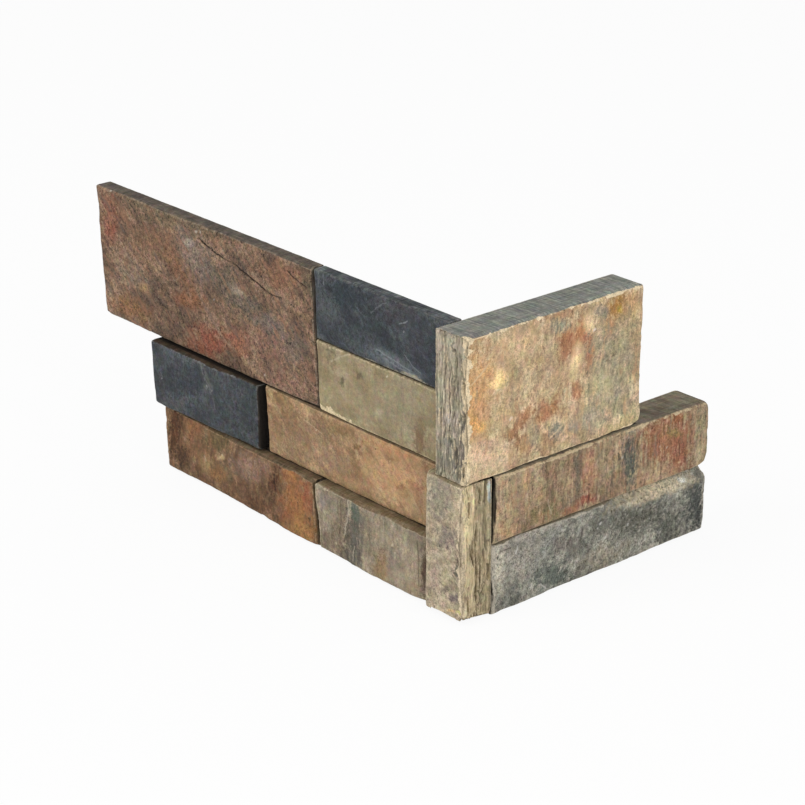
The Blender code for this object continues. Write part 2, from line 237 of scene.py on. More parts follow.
def makeSlate(name, leg, look):
    material = bpy.data.materials.new(name)
    material.use_nodes = True
    tree = material.node_tree
    shader = tree.nodes["Principled BSDF"]
    start = Wire(tree)
    seed = look["seed"]

    def painted(attribute):
        return start.node("ShaderNodeAttribute", {"attribute_name": attribute}, output="Fac")

    place = start.node("ShaderNodeTexCoord", output="Object").shift((-wallX, -wallY, 0)).grow(perMetre)
    half = (-0.5, -0.5, -0.5)
    ripple = place.cloud(15, 3.0, 0.55, seed, 1).shift(half)
    shiver = place.cloud(3.2, 4.0, 0.65, seed + 1, 1).shift(half)
    trembled = place.shift(shiver.grow(look["shiver"]))
    pulled = trembled.shift(ripple.grow(look["ripple"]))
    face = painted("splitFace").ease(0.25, 0.75)
    torn = painted("torn")
    hollow = painted("hollow")
    wear = painted("wear")
    pale = painted("pale")
    glued = painted("glued")
    mottle = place.cloud(2.0, 5.0, 0.7, seed + 21)
    speck = place.cloud(0.75, 2.0, 0.6, seed + 22)
    blotch = place.cloud(6.5, 4.0, 0.6, seed + 24)

    streakPlace = drawnOut(trembled, leg, look["streakTurn"], look["streakLong"])
    streak = streakPlace.cloud(look["streakSize"], 5.0, 0.65, seed + 20)

    # clouds of the stone's own colours, drawn out along its bedding
    tones = [tone(*shade) for shade in look["tones"]]
    drawn = drawnOut(pulled, leg, look["bedTurn"], look["bedLong"])
    broad = drawn.cloud(look["cloudSize"], 6.0, look["cloudRough"], seed + 2)
    body = broad.ramp(look["stops"], tones)

    # stains as listed
    ragged = (blotch - 0.5) + mottle.swing(0.9) + streak.swing(look["stainStreak"])
    ragged = ragged * look["stainTorn"] + speck.swing(0.5)
    nearly = trembled.shift(ripple.grow(look["ripple"] * 0.3))
    for stain in look["stains"]:
        body = stained(body, nearly, leg, stain, ragged, look["stainSoft"])

    # colour grain and specks
    light = 1.0 + streak.swing(look["streakDepth"]) + mottle.swing(look["mottle"])
    light = light + speck.swing(look["speck"])
    hue = place.cloud(look["hueSize"], 4.0, 0.7, seed + 25, 1).shift(half).grow(look["hue"]).shift((1, 1, 1))
    body = body.times(hue.times(look["tint"])).grow(light)
    for shade, size, low, high, strength in look["flecks"]:
        flecks = (streakPlace if size > 0 else place).cloud(abs(size), 3.0, 0.6, seed + size * 1.7)
        body = body.paint(flecks.ease(low, high) * strength, tone(*shade))

    # dark cracks and pale scratches
    cracks = None
    for kind, strength, points in look["lines"]:
        line = lineMask(trembled, leg, points, 0.42 if kind == "dark" else 0.55) * strength
        if kind == "dark":
            cracks = line if cracks is None else cracks.most(line)
            body = body.paint(line, tone(*look["crackShade"]))
        else:
            body = body.paint(line * mottle.ease(0.3, 0.5), tone(*look["seamShade"]))
    for along, up, radius, shade in look["dots"]:
        dot = (along, up, radius * 1.1, radius * 0.8, 40, shade, 0.8)
        body = stained(body, trembled, leg, dot, speck.swing(2.0), 0.6)

    # sawn tops, ends and back: the bedding shows as lines along them
    sideTones = [tone(*shade) for shade in look["sideTones"]]
    bedded = place.shift(shiver.grow(0.8)).times(legSizes(leg, 0.04, 1.25, 0.05))
    bedding = bedded.cloud(1.0, 4.0, 0.65, seed + 23)
    sawn = place.placed((0, 0, 0), (0, 0, math.radians(look["sawTurn"])), legSizes(leg, 16, 1.3, 12))
    saw = sawn.cloud(1.0, 3.0, 0.6, seed + 26)
    sideMix = bedding * 0.3 + saw * look["sawMarks"] + broad * 0.2 + blotch * (0.5 - look["sawMarks"])
    sideLight = look["sideLift"] + mottle.swing(1.1) + speck.swing(0.9) + saw.swing(look["sawDepth"])
    cut = sideMix.ramp((0.4, 0.49, 0.58), sideTones).times(hue).grow(sideLight)

    # torn ends: fibres of broken layers
    wavy = place.shift(shiver.grow(0.7)).shift(ripple.grow(2.5))
    fibre = wavy.times(legSizes(leg, 0.25, 0.8, 0.07)).cloud(1.0, 4.0, 0.6, seed + 27)
    fine = wavy.times(legSizes(leg, 0.4, 2.0, 0.13)).cloud(1.0, 3.0, 0.65, seed + 28)
    strand = painted("layer") * 0.55 + fibre.swing(0.9) + fine.swing(0.9) + blotch.swing(1.2) + 0.24
    ends = strand.ramp((0.2, 0.42, 0.62, 0.85), [tone(*shade) for shade in look["tornTones"]])
    endLeg = "short" if leg == "long" else "long"
    for stain in look["endStains"]:
        ends = stained(ends, nearly, endLeg, stain, ragged, look["stainSoft"])
    vein = abs(fibre - 0.5).ease(0.022, 0.004) * blotch.ease(0.42, 0.6) * torn
    ends = ends.times(hue).grow(look["endLift"] + fine.swing(2.0) + mottle.swing(1.0) + speck.swing(0.6))
    # painted shade in the thin grooves between the strands
    ends = ends.paint(vein * 0.4, tone(*look["creviceShade"]))
    body = cut.paint(torn, ends).paint(face, body)

    # fresh stone on worn edges, painted shade in the hollows
    freshTones = [tone(*[value * share for value in look["fresh"]]) for share in (0.86, 1.0, 1.1)]
    fresh = (mottle * 0.5 + speck * 0.5).ramp((0.4, 0.5, 0.6), freshTones)
    chip = wear.ease(0.2, 0.65) * mottle.ease(0.36, 0.56) * look["chipPale"]
    body = body.paint(chip, fresh)
    body = body.paint((pale + mottle.swing(1.3) + speck.swing(0.6)).ease(0.25, 0.75) * 0.95, fresh)
    # painted shade in the hollows and in the splits of a torn end
    body = body.paint(hollow * look["hollowDark"], tone(*look["creviceShade"]))
    # glue with painted shade on the sides in the joints
    body = body.paint(glued * look["glueAndShadeMost"], tone(*look["glueAndShade"]))

    # the finest relief is a bump on top of the sculpted shape
    rise = mottle.swing(look["mottleRise"]) + speck.swing(look["speckRise"])
    rise = rise + streak.swing(look["streakRise"]) * face + saw.swing(1.0 - face) * 0.35
    rise = rise + (fibre.swing(1.0) + fine.swing(1.2) - vein * 0.4) * torn
    if cracks is not None:
        rise = rise - cracks * 0.8
    bump = rise.node("ShaderNodeBump", {}, {"Height": rise, "Distance": 0.001, "Strength": look["bump"]})
    tree.links.new(body.socket, shader.inputs["Base Color"])
    tree.links.new(bump.socket, shader.inputs["Normal"])
    roughness = look["rough"] + streak.swing(0.16) + speck.swing(0.12)
    tree.links.new(roughness.socket, shader.inputs["Roughness"])
    shader.inputs["Specular IOR Level"].default_value = look["gloss"]
    return material


def scattered(cells, seed):
    # one repeatable number from 0 to 1 for each cell of a grid
    mixed = cells[:, 0] * 374761393 + cells[:, 1] * 668265263 + cells[:, 2] * 1440662683 + seed * 1013904223
    mixed = (mixed ^ (mixed >> 13)) * 1274126177
    mixed = (mixed ^ (mixed >> 16)) * 668265263
    return ((mixed >> 7) & 0xFFFFF) / float(0xFFFFF)


def bumps(place, size, seed, octaves=1, gain=0.5):
    # smooth noise from -1 to 1 at every point, with swells about size millimetres apart
    total, strength, reach = 0.0, 1.0, 0.0
    for octave in range(octaves):
        grid = place / (np.asarray(size, float) * 0.5**octave) + (seed % 89) * 3.173 + octave * 11.31
        cell = np.floor(grid).astype(np.int64)
        part = grid - cell
        part = part * part * (3 - 2 * part)
        value = 0.0
        for corner in range(8):
            step = np.array([corner & 1, corner >> 1 & 1, corner >> 2 & 1])
            weight = np.prod(np.where(step == 1, part, 1 - part), axis=1)
            value = value + weight * scattered(cell + step, seed + octave)
        total = total + strength * (2 * value - 1)
        reach += strength
        strength *= gain
    return total / reach


def wander(place, size, seed):
    return np.stack([bumps(place, size, seed + 40 + axis) for axis in range(3)], 1)


def alongLine(points, start, end):
    # where each point lies along a line, from 0 to 1, and how far off the line it is
    line = np.array(end) - start
    off = points - start
    share = np.clip(off @ line / (line @ line), 0, 1)
    return share, np.linalg.norm(off - share[:, None] * line, axis=1)


def eased(value, low=0.0, high=1.0):
    value = np.clip((value - low) / (high - low), 0, 1)
    return value * value * (3 - 2 * value)


# sides of a stone seen from outside: the axis they face along, and which way on it
sides = {"left": (0, -1), "right": (0, 1), "foot": (2, -1), "head": (2, 1)}
wholeSpan = {0: (0, 200), 2: (-400, 400)}  # millimetres up a left or right side, and along a head or foot
slotWide = 2  # millimetres; outlines and depths are read in slots this wide


class Skin:  # the points of one stone, in millimetres along its leg, out from the wall and up
    def __init__(self, stone, leg):
        self.stone, self.leg = stone, leg
        mesh = stone.data
        flat = np.empty(len(mesh.vertices) * 3, np.float32)
        mesh.vertices.foreach_get("co", flat)
        self.place = self.turned((flat.reshape(-1, 3).astype(float) - (wallX, wallY, 0)) * perMetre)
        ends = np.empty(len(mesh.edges) * 2, np.int32)
        mesh.edges.foreach_get("vertices", ends)
        self.ends = ends.reshape(-1, 2)
        self.first = self.place.copy()

    def turned(self, vectors):
        # world order to leg order, and back again
        if self.leg == "long":
            return vectors * (1, -1, 1)
        return vectors[:, [1, 0, 2]]

    def normals(self):
        flat = np.empty(len(self.place) * 3, np.float32)
        self.stone.data.vertex_normals.foreach_get("vector", flat)
        return self.turned(flat.reshape(-1, 3).astype(float))

    def blurred(self, values, rounds):
        # values averaged with their neighbours, again and again
        count = len(self.place)
        near = np.maximum(np.bincount(self.ends.ravel(), minlength=count), 1)
        columns = []
        for column in values.reshape(count, -1).T:
            for _ in range(rounds):
                gathered = np.bincount(self.ends[:, 0], column[self.ends[:, 1]], count)
                gathered += np.bincount(self.ends[:, 1], column[self.ends[:, 0]], count)
                column = 0.5 * column + 0.5 * gathered / near
            columns.append(column)
        return np.stack(columns, 1).reshape(values.shape)

    def outline(self):
        # distance to the nearest side of the face, and the way in from it
        along, up = self.place[:, 0], self.place[:, 2]
        alongBin = np.floor(along - along.min()).astype(int)
        upBin = np.floor(up - up.min()).astype(int)
        left = np.full(upBin.max() + 1, np.inf)
        right = np.full(upBin.max() + 1, -np.inf)
        low = np.full(alongBin.max() + 1, np.inf)
        high = np.full(alongBin.max() + 1, -np.inf)
        np.minimum.at(left, upBin, along)
        np.maximum.at(right, upBin, along)
        np.minimum.at(low, alongBin, up)
        np.maximum.at(high, alongBin, up)
        gaps = [along - left[upBin], right[upBin] - along, up - low[alongBin], high[alongBin] - up]
        gaps = np.stack(gaps, 1)
        nearest = gaps.argmin(1)
        ways = np.array([[1, 0, 0], [-1, 0, 0], [0, 0, 1], [0, 0, -1]], float)
        return gaps[np.arange(len(gaps)), nearest], ways[nearest]

    def squared(self, grown, tight):
        # the front outline drawn straighter, and the sides in a joint brought closer to it
        self.off = {}
        behind = self.faceDepth() - self.place[:, 1]
        for name, (axis, way) in sides.items():
            edge, run = self.place[:, axis] * way, self.place[:, 2 - axis]
            self.off[name] = edge.max() - edge
            front = (behind < 1.6) & (edge > edge.max() - 7)
            slot = np.floor((run - run.min()) / slotWide).astype(int)
            reach = np.full(slot.max() + 1, -np.inf)
            np.maximum.at(reach, slot[front], edge[front])
            middles = run.min() + slotWide * (np.arange(len(reach)) + 0.5)
            known = np.isfinite(reach)
            known[:2] = known[-2:] = False
            if known.sum() < 6:
                continue
            drawn = np.polyval(np.polyfit(middles[known], reach[known], 3), middles)
            if name in tight:
                drawn = np.maximum(drawn, edge.max() - 0.3)
            most = np.clip(edge.max() - reach, 0.5, 2.0 if name in tight else 1.2)
            shift = np.clip(drawn - reach, -0.7, most)
            shift[~known] = 0
            shift = np.interp(run, middles, shift)
            local = np.interp(run, middles[known], reach[known])
            self.off[name] = local - edge
            near = np.clip(1 - (local - edge) / 4, 0, 1) * np.clip(1 - behind / 4, 0, 1)
            self.place[:, axis] += way * shift * near
            if name in grown:
                lip = 0.25 + (grown[name] - 0.25) * eased(behind, 3.2, 1.6)
                self.place[:, axis] += way * lip * np.clip(1 - (local - edge) / 3, 0, 1)

    def within(self, sideName, span):
        # the points inside a span of this side; no span stands for all of it
        axis = sides[sideName][0]
        low, high = span or wholeSpan[axis]
        run = self.place[:, 2 - axis]
        return (run > low) & (run < high)

    def faceDepth(self):
        # how far out the face is over each point
        along = self.place[:, 0] - self.place[:, 0].min()
        slot = np.floor(along / slotWide).astype(int)
        reach = np.zeros(slot.max() + 1)
        np.maximum.at(reach, slot, self.place[:, 1])
        return reach[slot]

    def write(self, box):
        # never outside the box around all the imported pieces
        moved = np.clip(self.turned(self.place) / perMetre + (wallX, wallY, 0), tuple(box[0]), tuple(box[1]))
        self.stone.data.vertices.foreach_set("co", moved.astype(np.float32).ravel())
        self.stone.data.update()

    def keep(self, name, values):
        made = self.stone.data.attributes.new(name, "FLOAT", "POINT")
        made.data.foreach_set("value", np.clip(values, 0, 1).astype(np.float32))


def splitFace(skin, face, plan):
    # the split face: shingled layers, swells, roughness and pits, all cut inwards
    place, seed = skin.place, plan["seed"]
    flat = place * (1, 0.3, 1)
    shatter = plan["shatter"]
    pulled = flat + shatter * wander(flat, 11, seed) + 0.35 * shatter * wander(flat, 3.2, seed + 5)
    turn = math.radians(plan["shingleTurn"])
    run = pulled[:, 0] * math.cos(turn) + pulled[:, 2] * math.sin(turn)
    level = run / plan["shingle"] + 1.3 * bumps(pulled, plan["shingle"] * 1.4, seed + 9, 2, 0.5)
    part = level - np.floor(level)
    drop = np.where(part < 0.2, 1 - part / 0.2, (part - 0.2) / 0.8) ** 1.3
    strength = eased(bumps(flat, 24, seed + 10, 2), -0.5, 0.7)
    relief = plan["shingleRise"] * (1 - drop) * strength
    relief += plan["swell"] * (0.5 + 0.5 * bumps(flat, 20, seed + 12, 2))
    relief += plan["grit"] * (0.5 + 0.5 * bumps(place, 2.3, seed + 14, 3, 0.6))
    relief += plan["pits"] * eased(bumps(pulled, 3.6, seed + 15, 2), 0.35, 0.75)
    for kind, strength, points in plan["lines"]:
        if kind == "dark":
            for start, end in zip(points, points[1:]):
                gap = alongLine(place[:, [0, 2]], start, end)[1]
                relief += 0.7 * strength * np.exp(-((gap / 0.6) ** 2))
    place[:, 1] += plan["push"] * place[:, 1] / skin.faceDepth() - relief * face


def tearEnd(skin, side, plan):
    # a torn end: strands of slate broken back by different amounts, with splits between them
    place, seed = skin.place, plan["seed"] + 60
    way = -1.0 if side == "right" else 1.0
    end = eased(skin.blurred(-skin.normals()[:, 0] * way, 1), 0.35, 0.8)
    smooth = skin.blurred(place[:, 0], 14)
    place[:, 0] += (smooth - place[:, 0]) * eased(skin.blurred(end, 2), 0.5, 1.0)
    out, up = place[:, 1], place[:, 2]
    none = out * 0
    bent = out  # the strands are straight until the next noise bends them

    def grain(across, long, number, octaves=2, gain=0.55):
        return bumps(np.stack([bent, up, none], 1), (across, long, 1), seed + number, octaves, gain)

    bent = out + 0.9 * grain(9, 24, 0) + 0.4 * grain(4, 9, 1) + 0.12 * grain(1.6, 3, 2)
    deepSplit = np.clip(1 - np.abs(grain(4.2, 24, 3)) / 0.09, 0, 1) * eased(grain(5, 12, 4), 0.0, 0.45)
    fineSplit = np.clip(1 - np.abs(grain(1.3, 11, 5)) / 0.3, 0, 1) * eased(grain(3, 9, 11), -0.4, 0.3)
    depth = plan["tear"] * (0.5 + 0.55 * grain(2.6, 18, 6, 3, 0.6))
    depth += plan["slabTear"] * (0.5 + 0.8 * grain(6, 30, 7))
    depth += plan["crevice"] * deepSplit + 0.5 * fineSplit
    depth += 0.35 * eased(grain(2.2, 6, 8), 0.25, 0.4) + 0.1 * bumps(place, 1.3, seed + 6, 2)
    # the splits are darkened: painted shade in them
    dark = np.maximum(deepSplit * plan["tornDark"], fineSplit * 0.2)
    bowed = np.stack([out + 0.35 * bumps(np.stack([none, up, none], 1), (1, 5, 1), seed + 9), up], 1)
    for start, finish, wide, deep in plan["splits"]:
        share, gap = alongLine(bowed, start, finish)
        here = eased(1 - gap / (1.25 * wide * (0.5 + 2.6 * share * (1 - share))), 0.0, 0.6)
        depth += deep * here
        dark = np.maximum(dark, here * min(1.0, deep / 1.6))
    slab = 0
    for low, high, deep in plan["steps"]:
        here = eased(bent, low - 0.5, low + 0.5) * eased(bent, high + 0.5, high - 0.5)
        depth += deep * here
        slab = slab + here * 0.22
    inside = (0.4 + 0.6 * eased(out, 0, 3)) * (0.3 + 0.7 * eased(up - up.min(), 0, 3.5))
    place[:, 0] += way * np.clip(depth, 0, None) * end * inside
    return end, dark * end, 0.5 + 0.5 * grain(3, 24, 10, 3, 0.6) + 0.3 * grain(1.3, 9, 12, 2) - slab


# The marks were placed on the photograph, in its pixels. This camera was fitted to the straight
# joints before that, and through it a pixel is taken back to the plane that its mark lies in.
sight = {
    "heading": 49.378983949, "height": 22.285884178, "roll": -0.2280465217,  # degrees
    "aim": (44.846634097, -77.858218222, 143.800777694), "away": 1128.043115455,  # millimetres
    "zoom": 2478.339777921, "middle": 402.5,  # pixels
}
stainLift = 1.2  # the strength that a stain was noted with is lifted by this
dotScale = 0.5  # millimetres for each pixel of a dot's size


def onPlane(pixel, leg, out):
    # along and up where the line of sight through a pixel meets a plane in front of a leg
    heading, height, roll = (math.radians(sight[name]) for name in ("heading", "height", "roll"))
    level = math.cos(height)
    back = np.array([level * math.sin(heading), -level * math.cos(heading), math.sin(height)])
    across = np.cross(-back, (0, 0, 1))
    across = across / np.linalg.norm(across)
    upward = np.cross(across, -back)
    right = across * math.cos(roll) + upward * math.sin(roll)
    up = upward * math.cos(roll) - across * math.sin(roll)
    ray = (right * (pixel[0] - sight["middle"]) - up * (pixel[1] - sight["middle"])) / sight["zoom"] - back
    stand = np.array(sight["aim"]) + back * sight["away"]
    axis, wall = (1, -out) if leg == "long" else (0, out)
    met = stand + ray * (wall - stand[axis]) / ray[axis]
    return np.array([met[1 - axis], met[2]])


def pointOn(pixel, leg, out):
    # the same to a tenth of a millimetre
    along, up = onPlane(pixel, leg, out)
    return round(float(along), 1), round(float(up), 1)


def stainOn(stain, leg, out):
    # an ellipse in pixels as one in millimetres: its middle, half sizes, turn, colour and strength
    across, down, wide, high, turn, shade, strength = stain
    rightward = onPlane((across + 0.5, down), leg, out) - onPlane((across - 0.5, down), leg, out)
    downward = onPlane((across, down + 0.5), leg, out) - onPlane((across, down - 0.5), leg, out)
    angle = math.radians(turn)
    turned = [[math.cos(angle), -math.sin(angle)], [math.sin(angle), math.cos(angle)]]
    shape = np.stack([rightward, downward], 1) @ np.array(turned) @ np.diag([wide, high])
    ways, halves, rest = np.linalg.svd(shape)
    lean = (math.degrees(math.atan2(ways[1, 0], ways[0, 0])) + 90) % 180 - 90
    long, short = round(float(halves[0]), 1), round(float(halves[1]), 1)
    strong = round(min(1.0, strength * stainLift), 2)
    return (*pointOn((across, down), leg, out), long, short, round(lean), shade, strong)


def marked(plan):
    # a stone's plan with its marks taken from pixels to millimetres
    leg, out, endOut = plan["leg"], plan["faceOut"], plan["endOut"]
    endLeg = "short" if leg == "long" else "long"
    splits = []
    for start, finish, wide, deep in plan["splits"]:
        ends = [pointOn(pixel, endLeg, endOut) for pixel in (start, finish)]
        ends = [(-along, up) if leg == "long" else (along, up) for along, up in ends]
        splits.append((*ends, wide, deep))
    return {
        **plan,
        "stains": [stainOn(stain, leg, out) for stain in plan["stains"]],
        "endStains": [stainOn(stain, endLeg, endOut) for stain in plan["endStains"]],
        "lines": [(kind, strength, [pointOn(pixel, leg, out) for pixel in pixels])
                  for kind, strength, pixels in plan["lines"]],
        "dots": [(*pointOn((across, down), leg, out), round(size * dotScale, 2), shade)
                 for across, down, size, shade in plan["dots"]],
        "splits": splits,
    }


def makeStone(name, plan):
    plan = marked({**plainStone, **plan})
    leg, seed = plan["leg"], plan["seed"]
    stone = mergedCopy(name, plan["node"])
    finer = stone.modifiers.new("finer", "REMESH")
    finer.mode = "VOXEL"
    finer.voxel_size = plan["grid"] / perMetre
    finer.use_smooth_shade = True
    bpy.ops.object.modifier_apply(modifier=finer.name)

    skin = Skin(stone, leg)
    place, normal = skin.place, skin.normals()
    face = eased(skin.blurred(normal[:, 1], 1), 0.5, 0.85)
    back = place[:, 1] < flatBack

    # the coarse facets of the face are smoothed away before it gets its own layers
    smooth = skin.blurred(place[:, 1], 16)
    place[:, 1] += (smooth - place[:, 1]) * eased(skin.blurred(face, 3), 0.6, 1.0)
    for along, up, reach, rise, amount in plan["swells"]:
        near = np.exp(-((place[:, 0] - along) / reach) ** 2 - ((place[:, 2] - up) / rise) ** 2)
        place[:, 1] *= 1 + amount * near / skin.faceDepth()
    skin.squared(plan["grown"], plan["tight"])
    gap, inward = skin.outline()
    splitFace(skin, face * (0.35 + 0.65 * eased(gap, 0, 4)), plan)

    torn, splits, layer = np.zeros(len(place)), np.zeros(len(place)), np.zeros(len(place))
    if plan["torn"]:
        torn, splits, layer = tearEnd(skin, plan["torn"], plan)

    # the outline wanders a little and the arrises are worn, with a chip here and there
    ragged = plan["ragged"] * (0.5 + 0.5 * bumps(place * (1, 0.4, 1), 8, seed + 17, 3, 0.5))
    place += inward * (ragged * np.clip(1 - gap / 5, 0, 1) * ~back * (1 - torn))[:, None]
    chips = plan["chips"] * np.clip(bumps(place, 5.0, seed + 21, 3, 0.6) - 0.2, 0, 1)
    for along, up, size in plan["dents"]:
        near = np.clip(1 - np.hypot(place[:, 0] - along, place[:, 2] - up) / (2.4 * size), 0, 1)
        for axis, corner in ((0, along), (2, up)):
            place[:, axis] += 0.55 * size * near * np.sign(place[:, axis].mean() - corner)
    for sideName, size in plan["worn"].items():
        chips = chips + size * np.clip(1 - skin.off[sideName] / 6, 0, 1)
    behind = skin.faceDepth() - place[:, 1]
    pale = np.zeros(len(place))
    for sideName, width, strength, *span in plan["pale"]:
        rough = 1 + 0.9 * bumps(place, 2.6, seed + 33, 2) + 0.5 * bumps(place, 7, seed + 34)
        near = eased(width * rough - np.hypot(skin.off[sideName], behind), -0.3, 0.8)
        pale = np.maximum(pale, near * strength * skin.within(sideName, span))
    missing = np.clip(plan["arris"] + chips - gap - behind, 0, None) * 0.5
    place += inward * missing[:, None]
    place[:, 1] -= missing * (1 - 0.5 * torn)

    soft = eased(2.0 - gap) * eased(3.0 - behind) * (1 - 0.5 * torn) * ~back
    place += (skin.blurred(place, 2) - place) * soft[:, None] * 0.8

    # small unevenness all over, but a flat back
    place += normal * (plan["uneven"] * bumps(place, 3.0, seed + 27, 2) * ~back)[:, None]
    place[back, 1] = skin.first[back, 1]
    skin.write(cadBox)
    finish = skin.normals()
    bend = ((place - skin.blurred(place, 3)) * finish).sum(1)
    broadBend = ((place - skin.blurred(place, 12)) * finish).sum(1)
    fine = np.where(torn > 0.5, 0.5, 0.2)
    near = skin.faceDepth() - place[:, 1]
    skin.keep("splitFace", np.maximum(face, eased(near, plan["wrap"], plan["wrap"] * 0.45) * (1 - torn)))
    skin.keep("torn", torn)
    skin.keep("layer", layer)
    # how far in a point lies, in a crease or a split, for the painted shade there
    skin.keep("hollow", np.clip(-bend / 0.1, 0, 1) * fine + np.clip(-broadBend / 0.4, 0, 1) * 0.5 + splits)
    skin.keep("wear", np.clip(broadBend / 0.45, 0, 1) * 0.6 + np.clip(bend / 0.1, 0, 1) * 0.25)
    skin.keep("pale", pale)
    # glue and painted shade on the sides that stand in a joint
    glued = np.zeros(len(place))
    for sideName, reach, *span in plan["glued"]:
        axis, way = sides[sideName]
        here = eased(normal[:, axis] * way, 0.75, 0.95) * eased(reach - place[:, 1], -0.2, 0.6)
        glued = np.maximum(glued, here * skin.within(sideName, span))
    skin.keep("glued", glued)

    stone.data.materials.clear()
    stone.data.materials.append(makeSlate(name + "Slate", leg, plan))
    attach(stone, "root")
    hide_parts(plan["node"])
    print("made", name, "with", len(stone.data.polygons), "faces")


# what every stone starts from; sizes in millimetres, turns in degrees, colours as on the screen
plainStone = {
    "leg": "long", "grid": 0.7,  # grid is the spacing of the finer mesh
    "faceOut": 0, "endOut": 0,  # how far the planes of the marks stand out from the wall
    # the split face: its layers, and how far it comes out
    "shatter": 3.0, "shingle": 16, "shingleTurn": -40, "shingleRise": 0.5,
    "swell": 0.3, "grit": 0.22, "pits": 0.2, "uneven": 0.06, "push": 0.5,
    "swells": [],  # along, up, reach, rise and amount
    # the outline
    "ragged": 0.15, "chips": 2.2, "arris": 0.35, "wrap": 1.5,
    "grown": {},  # how far each side comes out
    "worn": {},  # wear of each side's arris; below 0 keeps it sharp
    "tight": [],  # sides drawn straight up to their joint
    "dents": [],  # along, up and size
    # the torn end
    "torn": "", "tornDark": 0.55, "tear": 1.2, "slabTear": 0.8, "crevice": 1.3,
    "splits": [],  # start and end in pixels, half width and depth
    "steps": [],  # from and to as out, and depth
    # pale arrises as side, width, strength and span; glue with painted shade in the joints as side, reach
    # from the wall and span
    "pale": [], "glued": [],
    # patterns
    "ripple": 9.0, "shiver": 2.4, "bedTurn": 0, "bedLong": 1.6, "cloudSize": 11, "cloudRough": 0.66,
    "stops": (0.40, 0.47, 0.53, 0.61), "stainTorn": 2.2, "stainStreak": 0.8, "stainSoft": 0.6,
    "streakTurn": 90, "streakLong": 5.0, "streakSize": 2.2, "streakDepth": 0.5,
    "mottle": 1.4, "speck": 1.1, "hue": 0.5, "hueSize": 3.6,
    "flecks": [],  # colour, size (below 0 for round ones), from, to and strength
    "sawTurn": 94, "sawMarks": 0.2, "sawDepth": 0.35, "sideLift": 1.0, "endLift": 1.0,
    "mottleRise": 0.5, "speckRise": 0.22, "streakRise": 0.3, "bump": 0.8, "rough": 0.74, "gloss": 0.3,
    # colours, with the painted shade of the hollows and of the joints among them
    "tint": (1, 1, 1), "chipPale": 0.6, "hollowDark": 0.75, "glueAndShadeMost": 0.85,
    "crackShade": (38, 28, 22), "seamShade": (190, 175, 155), "creviceShade": (46, 38, 30), "glueAndShade": (32, 27, 20),
    "sideTones": [(70, 64, 54), (92, 86, 76), (118, 110, 98)],
    "tornTones": [(103, 89, 62), (140, 126, 100), (165, 151, 124), (191, 176, 148)],
    # placed in pixels of the photograph
    "stains": [],  # across, down, half width, half height, turn, colour and strength
    "endStains": [],  # the same for a torn end, which runs along the other leg
    "lines": [],  # kind, strength and points
    "dots": [],  # across, down, size and colour
}

